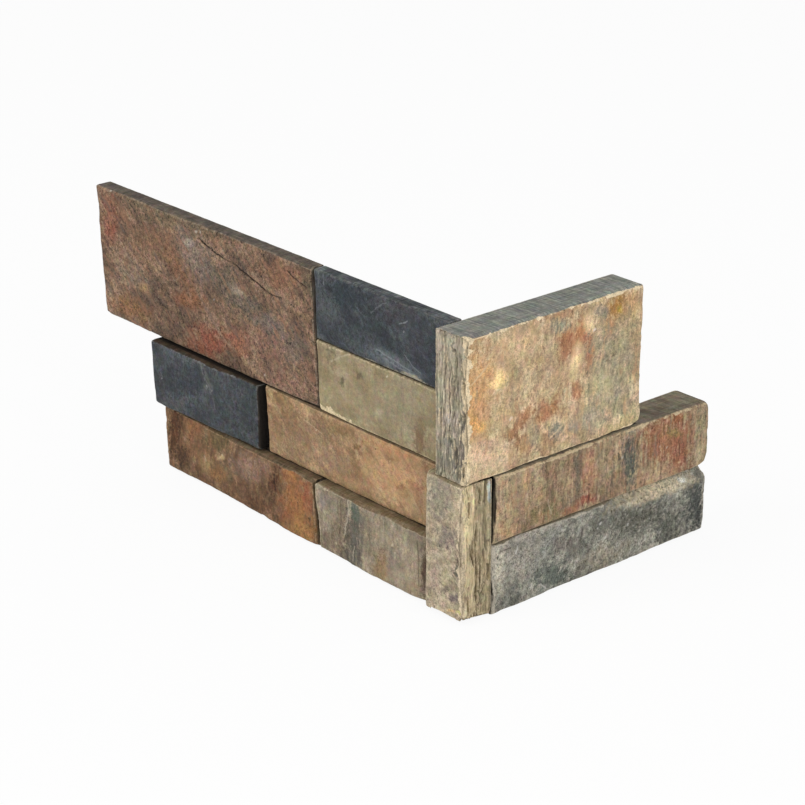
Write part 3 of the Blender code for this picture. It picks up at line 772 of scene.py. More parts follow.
rustStone = {
    "faceOut": 9.2,
    "node": "upper_rust_stone", "slot": "rust_slate", "seed": 3, "grid": 0.75,
    "shingle": 15, "shingleTurn": -45, "shingleRise": 0.6, "swell": 0.4, "grit": 0.4, "push": 0.6,
    "ragged": 0.3, "chips": 2.6, "arris": 0.25, "grown": {"right": 0.4, "foot": 0.85, "left": 0.6},
    "glued": [("right", 7.0), ("foot", 7.6, -246, 200)],
    "bedTurn": -42, "streakTurn": -42, "streakDepth": 1.6, "mottle": 3.4, "speck": 2.8, "hue": 0.7,
    "flecks": [
        ((156, 112, 86), 3.4, 0.56, 0.68, 0.5), ((96, 88, 82), 4.1, 0.58, 0.68, 0.45),
        ((168, 150, 134), -1.3, 0.66, 0.74, 0.6),
    ],
    "tint": (0.95, 0.9, 0.82), "tones": [(100, 82, 70), (120, 98, 82), (132, 108, 90), (150, 126, 108)],
    "fresh": (146, 134, 116),
    "sideTones": [(64, 57, 49), (88, 79, 70), (112, 101, 89)],
    "stains": [
        (165, 214, 55, 11, 20, (112, 100, 80), 0.6),  # olive brown under the head
        (112, 218, 8, 26, 0, (138, 92, 76), 0.65),  # red by the left end
        (113, 232, 6, 5, 0, (142, 90, 74), 0.7),  # brick red
        (106, 250, 5, 12, 0, (92, 76, 66), 0.6),  # dark left edge
        (135, 278, 16, 9, 25, (130, 118, 106), 0.55),  # grey bloom
        (133, 308, 20, 9, 25, (148, 110, 76), 0.6),  # orange by the foot
        (146, 290, 7, 4, 40, (174, 144, 110), 0.8),  # tan fleck
        (178, 268, 28, 7, 61, (146, 104, 76), 0.45),  # rust stream
        (197, 258, 28, 11, 62, (134, 124, 118), 0.5),  # lilac bloom
        (190, 243, 5, 4, 0, (164, 154, 146), 0.7),  # pale fleck
        (232, 290, 34, 9, 55, (104, 100, 88), 0.55),  # grey green band
        (238, 291, 9, 3, 45, (172, 158, 144), 0.8),  # pale fleck
        (246, 306, 20, 8, 25, (100, 95, 88), 0.4),  # dark slate
        (190, 302, 15, 8, 15, (140, 94, 64), 0.6),  # rust
        (208, 343, 17, 13, 35, (140, 84, 66), 0.75),  # red at the foot
        (238, 343, 14, 9, 65, (158, 108, 84), 0.7),  # orange red
        (231, 336, 5, 4, 0, (150, 98, 80), 0.7),  # brick fleck
        (268, 345, 26, 16, 30, (144, 112, 98), 0.5),  # pink
        (270, 325, 18, 8, 25, (126, 118, 114), 0.5),  # lilac
        (293, 348, 12, 16, 0, (110, 102, 96), 0.5),  # grey
        (282, 278, 18, 12, 25, (144, 104, 80), 0.5),  # rust by the head
        (284, 384, 18, 9, 25, (150, 118, 104), 0.5),  # pink at the foot
        (307, 285, 6, 14, 0, (110, 100, 82), 0.5),  # olive by the joint
        (150, 245, 24, 14, 30, (136, 104, 82), 0.45),  # brown
    ],
    "lines": [
        ("dark", 1, [(199.5, 239.5), (205, 246), (212, 251), (222, 259)]),
        ("dark", 0.5, [(223, 260), (230, 263), (236, 267)]),
        ("dark", 1, [(236, 267), (246, 276), (256, 285), (263, 291)]),
        ("dark", 0.6, [(263, 291), (270, 296), (281, 299)]),
        ("dark", 0.7, [(286.5, 272), (292, 278), (300, 285), (304.5, 289)]),
    ],
    "dots": [
        (112, 191.8, 1.7, (200, 190, 175)), (196.5, 232.5, 1.9, (190, 180, 165)),
        (201, 233.2, 1.6, (185, 175, 160)), (214, 300, 1.3, (165, 160, 155)),
        (160, 326.5, 1.4, (50, 42, 36)), (265, 375, 1.3, (180, 165, 155)),
    ],
}
makeStone("rustStone", rustStone)

blueStone = {
    "faceOut": 8.4,
    "node": "upper_blue_stone", "slot": "blue_slate", "seed": 12,
    "shingle": 24, "shingleRise": 0.2, "swell": 0.25, "pits": 0.05, "push": 0.3,
    "ragged": 0.1, "chips": 1.6, "arris": 0.2, "grown": {"left": 0.4, "foot": 0.45},
    "pale": [("foot", 1.1, 0.9, -66, -14)],
    "glued": [("left", 7.0), ("foot", 7.0), ("right", 30)],
    "streakTurn": -35, "streakDepth": 0.8, "mottle": 2.7, "speck": 2.0, "hue": 0.9, "rough": 0.6,
    "chipPale": 0.2,
    "flecks": [((104, 108, 112), 2.6, 0.64, 0.74, 0.4)],
    "tint": (0.74, 0.77, 0.78), "tones": [(56, 61, 66), (66, 71, 76), (76, 80, 84), (90, 93, 95)],
    "fresh": (150, 146, 132), "seamShade": (132, 136, 140), "crackShade": (34, 36, 40),
    "creviceShade": (34, 36, 38),
    "sideTones": [(32, 36, 39), (66, 70, 73), (112, 116, 117)],
    "stains": [
        (326, 300, 12, 26, 0, (86, 89, 91), 0.65),  # grey left
        (350, 298, 30, 9, 25, (52, 60, 66), 0.7),  # dark under the head
        (345, 296, 9, 9, 0, (54, 62, 70), 0.6),  # deep blue
        (372, 325, 14, 14, 0, (56, 64, 66), 0.5),  # green black
        (398, 312, 20, 12, 20, (82, 78, 82), 0.5),  # violet
        (418, 345, 10, 14, 0, (80, 78, 84), 0.45),  # violet right
        (392, 362, 28, 6, 26, (116, 119, 123), 0.7),  # pale scuff
        (381, 353, 8, 2.4, 30, (116, 122, 126), 0.7),  # scuff
        (417, 372, 10, 3, 30, (96, 102, 106), 0.6),  # scuff
        (429, 362, 9, 22, 0, (64, 68, 75), 0.6),  # deep blue right
        (350, 335, 26, 10, 25, (70, 76, 80), 0.4),  # slate
        (412, 377.5, 12, 1.6, 24, (186, 174, 146), 0.8),  # pale chips
    ],
    "lines": [
        ("pale", 0.8, [(399, 324.5), (407, 322.5)]),
        ("pale", 0.35, [(371, 314), (377, 308), (386, 303)]),
        ("pale", 0.7, [(376, 349), (386, 356), (398, 363), (410, 372)]),
        ("pale", 0.5, [(384, 358), (398, 368), (420, 378)]),
        ("pale", 0.5, [(404, 355), (412, 366), (420, 374)]),
        ("pale", 0.5, [(323, 274), (324, 286)]),
        ("pale", 0.4, [(318, 272), (319, 288)]),
    ],
    "dots": [
        (403, 332, 1.1, (140, 140, 142)),
    ],
}
makeStone("blueStone", blueStone)

oliveStone = {
    "faceOut": 9,
    "node": "upper_olive_stone", "slot": "olive_slate", "seed": 21,
    "shingle": 30, "shingleRise": 0.12, "swell": 0.2, "pits": 0.05, "push": 0.25,
    "ragged": 0.1, "chips": 1.6, "arris": 0.2, "grown": {"left": 0.4, "head": 0.45, "foot": 0.85},
    "worn": {"foot": -0.8},
    "pale": [("foot", 2.2, 1.0, -106, -76), ("foot", 0.7, 0.6, -78, -10), ("head", 0.4, 0.4)],
    "glued": [("left", 7.4), ("head", 6.8), ("foot", 7.4), ("right", 30)],
    "streakTurn": 88, "streakLong": 9.0, "mottle": 0.9, "speck": 0.9, "hue": 0.6, "rough": 0.66,
    "flecks": [((128, 116, 92), 3.0, 0.62, 0.74, 0.35)],
    "tint": (1.07, 1.05, 0.96),
    "tones": [(138, 124, 98), (147, 133, 107), (154, 141, 115), (164, 151, 126)],
    "fresh": (222, 204, 166), "seamShade": (184, 170, 142), "crackShade": (96, 84, 62),
    "glueAndShade": (44, 34, 24),
    "sideTones": [(98, 88, 68), (124, 112, 88), (150, 138, 112)],
    "stains": [
        (331, 357, 5, 10, 0, (126, 116, 94), 0.5),  # smudge
        (342, 383, 2.6, 4, 0, (96, 88, 70), 0.85),  # dark spot
        (360, 376, 2.2, 3, 0, (104, 95, 76), 0.8),  # dark spot
        (379, 412, 4, 4, 0, (182, 164, 146), 0.7),  # pale spot
        (330, 412, 9, 2.6, 24, (208, 194, 158), 0.9),  # fresh chips at the foot
        (343, 419, 7, 1.6, 24, (196, 180, 146), 0.8),  # fresh chips
        (420, 440, 5, 20, 0, (112, 88, 62), 0.6),  # brown streak
        (326, 398, 8, 14, 0, (160, 147, 116), 0.5),  # tan
        (400, 402, 26, 26, 0, (146, 137, 118), 0.4),  # grey olive
        (362, 432, 22, 6, 24, (146, 134, 106), 0.4),  # olive foot
        (352, 400, 20, 12, 24, (160, 146, 118), 0.4),  # light
        (428, 400, 6, 20, 0, (158, 146, 122), 0.4),  # light right
    ],
    "lines": [
        ("pale", 0.8, [(331, 362), (338, 358.5), (352, 353.5)]),
        ("dark", 0.3, [(326, 350), (332, 352), (336, 356)]),
    ],
    "dots": [
        (387, 377, 1.6, (205, 195, 170)), (325, 389, 1.6, (178, 165, 138)),
    ],
}
makeStone("oliveStone", oliveStone)

navyStone = {
    "faceOut": 13.8,
    "node": "middle_navy_stone", "slot": "navy_slate", "seed": 33,
    "shingle": 26, "shingleRise": 0.15, "swell": 0.25, "pits": 0.05, "push": 0.2,
    "swells": [(-163, 60, 14, 60, -0.9)],
    "ragged": 0.2, "chips": 1.8, "arris": 0.25, "wrap": 0.5, "grown": {"head": 0.1, "foot": 0.5},
    "pale": [("head", 0.9, 0.7, -220, -165), ("right", 0.4, 0.5)],
    "glued": [("head", 10.6), ("right", 30), ("foot", 10.5, -238, 0)],
    "streakTurn": 82, "streakLong": 6.0, "streakDepth": 0.8, "mottle": 2.9, "speck": 2.1, "hue": 1.2,
    "rough": 0.6, "glueAndShadeMost": 1.0,
    "flecks": [((84, 92, 92), 3.4, 0.58, 0.7, 0.4)],
    "tint": (0.76, 0.75, 0.77), "tones": [(57, 61, 65), (67, 72, 76), (77, 81, 84), (90, 94, 96)],
    "fresh": (112, 114, 112), "seamShade": (116, 119, 120), "crackShade": (34, 36, 38),
    "creviceShade": (30, 28, 26), "glueAndShade": (22, 17, 12),
    # dark brown sides: painted shade of the joints over their sawn colour
    "sideTones": [(36, 27, 18), (54, 43, 31), (76, 64, 50)],
    "stains": [
        (176, 350, 14, 5, 22, (98, 102, 106), 0.6),  # light by the head
        (206, 374, 18, 2.6, 68, (106, 108, 107), 0.6),  # pale streaks
        (210, 388, 5, 5, 0, (122, 125, 126), 0.6),  # pale flecks
        (215, 404, 18, 3, 76, (82, 85, 89), 0.5),  # pale stream
        (188, 378, 14, 14, 0, (58, 66, 73), 0.5),  # dark blue
        (248, 402, 8, 28, 0, (56, 64, 66), 0.5),  # dark right
        (226, 400, 16, 24, 0, (72, 80, 82), 0.4),  # green grey
        (178, 404, 18, 6, 30, (78, 81, 82), 0.45),  # light at the foot
        (162, 372, 5, 20, 0, (74, 79, 83), 0.4),  # left
        (235, 376, 20, 3, 22, (100, 104, 106), 0.5),  # light along the head
    ],
    "lines": [
        ("pale", 0.6, [(201, 359), (203, 368), (206, 380)]),
        ("pale", 0.5, [(206, 377), (211, 388), (212, 395)]),
        ("pale", 0.5, [(163, 372), (164.5, 376)]),
        ("pale", 0.35, [(214, 398), (216, 410)]),
    ],
    "dots": [
        (164, 378, 1.1, (130, 132, 132)), (208, 386, 1.2, (150, 150, 148)), (213, 391, 1, (150, 150, 148)),
    ],
}
makeStone("navyStone", navyStone)

tanStone = {
    "faceOut": 9.8,
    "node": "middle_tan_stone", "slot": "tan_slate", "seed": 44,
    "shingle": 22, "shingleRise": 0.3, "pits": 0.1, "push": 0.3,
    "chips": 1.8, "arris": 0.15, "grown": {"head": 0.1, "foot": 0.85, "right": 0.3, "left": 0.8},
    "worn": {"head": -0.8},
    "pale": [("head", 0.4, 0.4), ("left", 0.6, 0.5)],
    "glued": [("head", 7.4), ("left", 30), ("foot", 8.0), ("right", 30)],
    "bedTurn": -40, "cloudSize": 14, "streakTurn": -40, "streakDepth": 0.7, "mottle": 1.5, "hue": 0.7,
    "flecks": [((140, 112, 80), 4.0, 0.56, 0.68, 0.45), ((190, 164, 132), 2.2, 0.64, 0.72, 0.4)],
    "tint": (1.04, 1.0, 0.93),
    "tones": [(134, 107, 79), (151, 124, 95), (167, 140, 109), (186, 158, 125)],
    "fresh": (198, 172, 138), "seamShade": (192, 166, 134), "crackShade": (96, 70, 50),
    "glueAndShade": (50, 38, 26),
    "sideTones": [(88, 72, 50), (112, 94, 70), (138, 118, 92)],
    "stains": [
        (330, 430, 18, 9, 20, (138, 114, 80), 0.6),  # olive brown
        (282, 400, 16, 6, 25, (138, 112, 78), 0.6),  # olive brown by the head
        (292, 416, 8, 5, 20, (136, 106, 74), 0.5),  # brown
        (288, 446, 22, 12, 30, (154, 130, 104), 0.6),  # grey tan
        (312, 432, 30, 12, 28, (142, 118, 94), 0.6),  # grey brown
        (330, 460, 22, 9, 28, (156, 130, 108), 0.6),  # lilac tan
        (395, 450, 25, 9, 22, (188, 146, 106), 0.6),  # orange by the head
        (398, 478, 24, 17, 30, (200, 162, 124), 0.65),  # peach
        (413, 487, 9, 6, 0, (164, 126, 94), 0.6),  # rust
        (401, 488, 5, 2.6, 0, (160, 120, 90), 0.6),  # rust
        (419.5, 497, 3.5, 16, 0, (156, 122, 96), 0.6),  # rust at the joint
        (392, 506, 12, 5, 25, (166, 132, 100), 0.5),  # rust foot
        (414, 470, 12, 4, 20, (164, 132, 102), 0.5),  # rust head right
        (357, 447, 3, 2, 0, (126, 96, 66), 0.7),  # brown fleck
        (352, 425, 16, 4, 24, (178, 148, 112), 0.7),  # light
        (372, 468, 14, 12, 24, (182, 148, 112), 0.5),  # tan
        (350, 482, 14, 5, 26, (176, 146, 112), 0.5),  # dun
    ],
    "lines": [
        ("pale", 0.6, [(304, 420), (313, 426), (322, 434)]),
        ("pale", 0.3, [(272, 440), (283, 449), (296, 460)]),
    ],
    "dots": [
        (316, 430, 1.3, (205, 182, 150)), (389, 461, 1.2, (210, 180, 140)), (375, 449, 1.1, (110, 80, 55)),
    ],
}
makeStone("tanStone", tanStone)

russetStone = {
    "faceOut": 14.2,
    "node": "lower_russet_stone", "slot": "russet_slate", "seed": 57,
    "shingle": 13, "shingleTurn": -60, "shingleRise": 0.35, "swell": 0.4, "grit": 0.4, "pits": 0.3,
    "push": 0.9,
    "ragged": 0.4, "chips": 2.6, "arris": 0.2, "grown": {"head": 0.1, "right": 0.55, "left": 1.6},
    "dents": [(-145, -0.4, 1.7)],
    "pale": [("head", 0.5, 0.5, -160, -100)],
    "glued": [("head", 8.2), ("right", 13.0)],
    "bedTurn": 80, "streakTurn": 80, "streakLong": 4.0, "streakDepth": 1.2, "mottle": 2.1, "speck": 1.6,
    "hue": 0.7,
    "flecks": [
        ((142, 102, 70), 3.6, 0.56, 0.68, 0.5), ((84, 62, 46), 3.0, 0.6, 0.7, 0.5),
        ((170, 146, 118), -1.4, 0.66, 0.74, 0.5),
    ],
    "tint": (1.04, 1.02, 0.9), "tones": [(94, 70, 50), (112, 86, 66), (128, 100, 78), (146, 118, 94)],
    "fresh": (168, 142, 112),
    "sideTones": [(74, 60, 42), (98, 82, 60), (122, 104, 80)],
    "stains": [
        (174, 430, 6, 26, 0, (84, 54, 34), 0.85),  # dark rust
        (191, 428, 7, 14, 0, (140, 98, 70), 0.7),  # orange streak
        (200, 450, 9, 12, 0, (126, 94, 68), 0.6),  # orange brown
        (181, 456, 6, 11, 0, (78, 56, 40), 0.75),  # dark brown
        (217, 440, 12, 11, 20, (104, 90, 62), 0.65),  # olive
        (205, 464, 7, 8, 0, (162, 134, 100), 0.6),  # tan
        (227, 474, 9, 9, 0, (112, 98, 74), 0.5),  # olive grey
        (250, 467, 17, 13, 20, (146, 120, 108), 0.75),  # lilac grey
        (243, 491, 18, 9, 26, (106, 78, 62), 0.6),  # violet brown
        (259, 504, 15, 7, 26, (94, 66, 46), 0.65),  # dark brown
        (276, 481, 5, 12, 10, (86, 56, 38), 0.75),  # dark spot
        (297, 502, 13, 23, 0, (156, 108, 72), 0.9),  # orange
        (291, 475, 8, 8, 0, (164, 112, 74), 0.75),  # bright orange
        (309.5, 494, 4, 16, 0, (150, 90, 68), 0.65),  # red by the joint
        (305, 531, 10, 9, 0, (150, 106, 60), 0.7),  # gold brown foot
        (220, 457.5, 3.5, 2, -20, (186, 158, 126), 0.8),  # fresh chip
        (217, 476, 9, 6, 20, (150, 112, 78), 0.6),  # orange tan
        (303, 527, 12, 12, 0, (168, 126, 82), 0.6),  # gold foot
        (289, 513, 6, 9, 0, (130, 88, 58), 0.5),  # brown
    ],
    "lines": [
        ("dark", 0.5, [(276, 474), (275, 481), (277, 490)]),
        ("pale", 0.5, [(203, 455), (205, 462)]),
    ],
    "dots": [
        (222, 455.5, 1.6, (215, 195, 160)), (311, 517.5, 1.4, (60, 40, 28)), (188, 440, 1.2, (75, 45, 30)),
        (281, 468, 1.6, (70, 45, 30)),
    ],
}
makeStone("russetStone", russetStone)

greyStone = {
    "faceOut": 15.5,
    "node": "lower_grey_stone", "slot": "grey_slate", "seed": 66,
    "shingle": 12, "shingleTurn": 8, "shingleRise": 0.3, "pits": 0.15, "push": 0.6,
    "swells": [(-12, -4, 45, 26, 2.6), (-8, 20, 6, 60, -2.5)],
    "ragged": 0.2, "chips": 1.8, "arris": 0.2, "grown": {"head": 0.1, "left": 0.55, "right": 0.3},
    "pale": [("left", 0.9, 0.9), ("head", 0.9, 0.7)],
    "glued": [("head", 8.2), ("left", 13.4), ("right", 30)],
    "bedTurn": 88, "streakTurn": 88, "streakLong": 8.0, "streakDepth": 1.3, "speck": 1.2, "hue": 0.6,
    "flecks": [((112, 100, 84), 3.0, 0.6, 0.7, 0.4), ((180, 168, 146), -1.3, 0.66, 0.74, 0.5)],
    "tint": (1.14, 1.12, 1.07),
    "tones": [(118, 108, 92), (134, 123, 106), (146, 134, 116), (160, 148, 129)],
    "fresh": (186, 172, 146), "seamShade": (186, 175, 156), "crackShade": (72, 62, 52),
    "sideTones": [(90, 76, 54), (114, 98, 72), (136, 120, 94)],
    "stains": [
        (328, 506, 9, 16, 0, (142, 132, 116), 0.5),  # grey
        (322, 500, 4, 9, 0, (138, 130, 128), 0.4),  # lilac
        (342, 516, 4, 20, 0, (116, 102, 84), 0.6),  # brown
        (336, 542, 12, 14, 10, (122, 108, 92), 0.65),  # brown foot
        (354.5, 539, 7.5, 40, 0, (99, 95, 87), 0.85),  # blue grey band
        (355, 508, 3.6, 10, 0, (94, 104, 92), 0.7),  # green
        (347.5, 540, 3, 16, 0, (82, 76, 66), 0.6),  # dark
        (384, 569, 8, 17, 0, (142, 117, 84), 0.6),  # tan band
        (391.5, 560, 4, 10, 0, (128, 118, 113), 0.5),  # lilac
        (413, 586, 8, 6, 20, (152, 131, 100), 0.5),  # tan foot
        (371, 525, 8, 22, 0, (142, 131, 112), 0.4),  # grey
        (385, 538, 4, 7, -10, (170, 156, 134), 0.5),  # light
        (405, 545, 10, 22, 0, (150, 139, 122), 0.4),  # light grey
        (400, 578, 9, 12, 0, (170, 158, 138), 0.55),  # light foot
        (412, 564, 6, 16, 0, (168, 153, 132), 0.5),  # light by the joint
        (422.6, 572, 1.8, 30, 0, (92, 76, 62), 0.8),  # painted shade at the joint, where the corner stone shades this end
    ],
    "lines": [
        ("pale", 0.75, [(347.5, 499), (348.5, 512), (346, 524), (345, 534)]),
        ("pale", 0.6, [(355, 545), (354, 553), (354, 561)]),
        ("pale", 0.45, [(383, 520), (383, 534)]),
        ("pale", 0.5, [(392, 540), (393, 546)]),
        ("dark", 0.35, [(340, 500), (341, 520), (339, 535)]),
        ("dark", 0.3, [(416, 541), (418, 560), (419, 585)]),
    ],
    "dots": [
        (391.5, 544.5, 1.7, (215, 200, 170)), (397, 538, 1.3, (190, 175, 150)),
        (336.5, 542, 1.4, (190, 176, 150)), (395, 552.5, 1.3, (190, 176, 156)),
    ],
}
makeStone("greyStone", greyStone)

cornerStone = {
    "faceOut": 19.2, "endOut": 20.9,
    "node": "corner_stone", "slot": "corner_slate", "seed": 71, "grid": 0.5,
    "shingle": 14, "shingleRise": 0.3, "grit": 0.3, "pits": 0.3, "push": 0.3,
    "ragged": 0.2, "chips": 2.4, "arris": 0.3, "grown": {"left": 0.3, "head": 0.4},
    "worn": {"right": 1.4, "foot": -0.8}, "dents": [(21.4, -0.3, 2.2), (-7.6, -0.3, 1.6)],
    "torn": "right", "steps": [(-6.0, 9.9, 1.3)],
    "pale": [("right", 2.6, 1.0), ("left", 0.6, 0.4), ("head", 0.6, 0.5, -200, 8), ("head", 1.8, 1.0, 8, 40)],
    "glued": [("left", 30), ("head", 7.6)],
    "streakTurn": 85, "streakLong": 2.0, "streakDepth": 0.8, "mottle": 1.9, "speck": 1.5, "hue": 0.45,
    "endLift": 1.8, "hollowDark": 0.62,
    "flecks": [((108, 100, 88), -2.2, 0.58, 0.68, 0.6), ((192, 178, 152), -1.8, 0.6, 0.7, 0.5)],
    "tint": (1.32, 1.3, 1.26),
    "tones": [(136, 124, 106), (152, 140, 120), (164, 151, 130), (180, 166, 144)],
    "fresh": (218, 200, 170),
    "sideTones": [(110, 97, 72), (150, 136, 108), (182, 168, 140)],
    "tornTones": [(108, 94, 68), (146, 131, 103), (172, 157, 128), (200, 184, 154)],
    "stains": [
        (438, 500, 11, 19, 0, (136, 129, 114), 0.8),  # speckled grey head
        (457, 505, 5, 18, 0, (178, 164, 138), 0.5),  # cream side
        (461, 485, 4, 4, 0, (208, 186, 164), 0.6),  # pink cream
        (461.5, 535, 2.6, 26, 0, (200, 172, 138), 0.65),  # orange cream arris
        (446, 538, 9, 10, 0, (120, 109, 102), 0.75),  # lilac grey
        (434, 530, 6, 10, 0, (158, 144, 120), 0.5),  # tan
        (446, 577, 8, 6, 0, (160, 152, 122), 0.5),  # yellow green
        (456, 571, 4.4, 5.6, 0, (92, 92, 80), 1),  # green spot
        (454, 598, 5, 4.4, 0, (112, 101, 98), 0.8),  # violet spot
        (445, 589, 4.5, 3, 0, (98, 90, 80), 0.6),  # dark spots
        (433, 576, 5, 12, 0, (164, 144, 134), 0.4),  # pink grey
        (450, 610, 4, 2.2, 20, (206, 172, 130), 0.7),  # orange fleck
        (457, 612, 3, 1.8, 20, (192, 186, 122), 0.6),  # yellow fleck
        (462, 608, 1.7, 2, 0, (218, 218, 212), 0.8),  # white fleck
        (463, 590, 4, 12, 0, (198, 182, 148), 0.6),  # cream foot
        (442, 555, 12, 3, 10, (176, 160, 136), 0.3),  # cream seam
    ],
    "lines": [
        ("pale", 0.5, [(426, 480), (426, 520)]),
        ("dark", 0.4, [(459, 552), (457, 560), (459, 570)]),
        ("pale", 0.5, [(461, 552), (459, 565), (462, 580)]),
    ],
    "endStains": [
        (469, 510, 7, 26, 0, (196, 178, 140), 0.5),  # cream slab
        (468, 535, 5, 10, 0, (198, 184, 148), 0.6),  # smooth cream
        (475, 503, 1.6, 7, 0, (214, 204, 150), 0.6),  # yellow cream
        (486, 530, 6, 40, 0, (150, 140, 114), 0.5),  # olive slab
        (485, 600, 5, 16, 0, (128, 120, 96), 0.5),  # olive foot
        (490.2, 489, 1.1, 11, 0, (176, 184, 186), 0.75),  # pale blue rim
        (470, 580, 6, 30, 0, (178, 164, 130), 0.4),  # tan slab
        (466, 612, 3, 8, 0, (206, 190, 160), 0.5),  # cream foot
    ],
    "splits": [
        ((474.3, 537), (474.9, 566), 0.85, 3.4), ((477.6, 480), (478.4, 498), 0.7, 2.6),
        ((479.4, 524), (480.2, 542), 0.75, 2.8), ((478.8, 541), (479.6, 617), 0.6, 1.8),
        ((488.7, 563), (488.7, 579), 0.6, 2), ((470.5, 503), (470.8, 518), 0.6, 2),
        ((483, 489), (483.4, 505), 0.6, 2.2), ((469, 597), (469.5, 617), 0.6, 2),
        ((482.5, 560), (483, 600), 0.5, 1.4), ((471.5, 545), (472.2, 562), 0.6, 1.8),
    ],
}
makeStone("cornerStone", cornerStone)

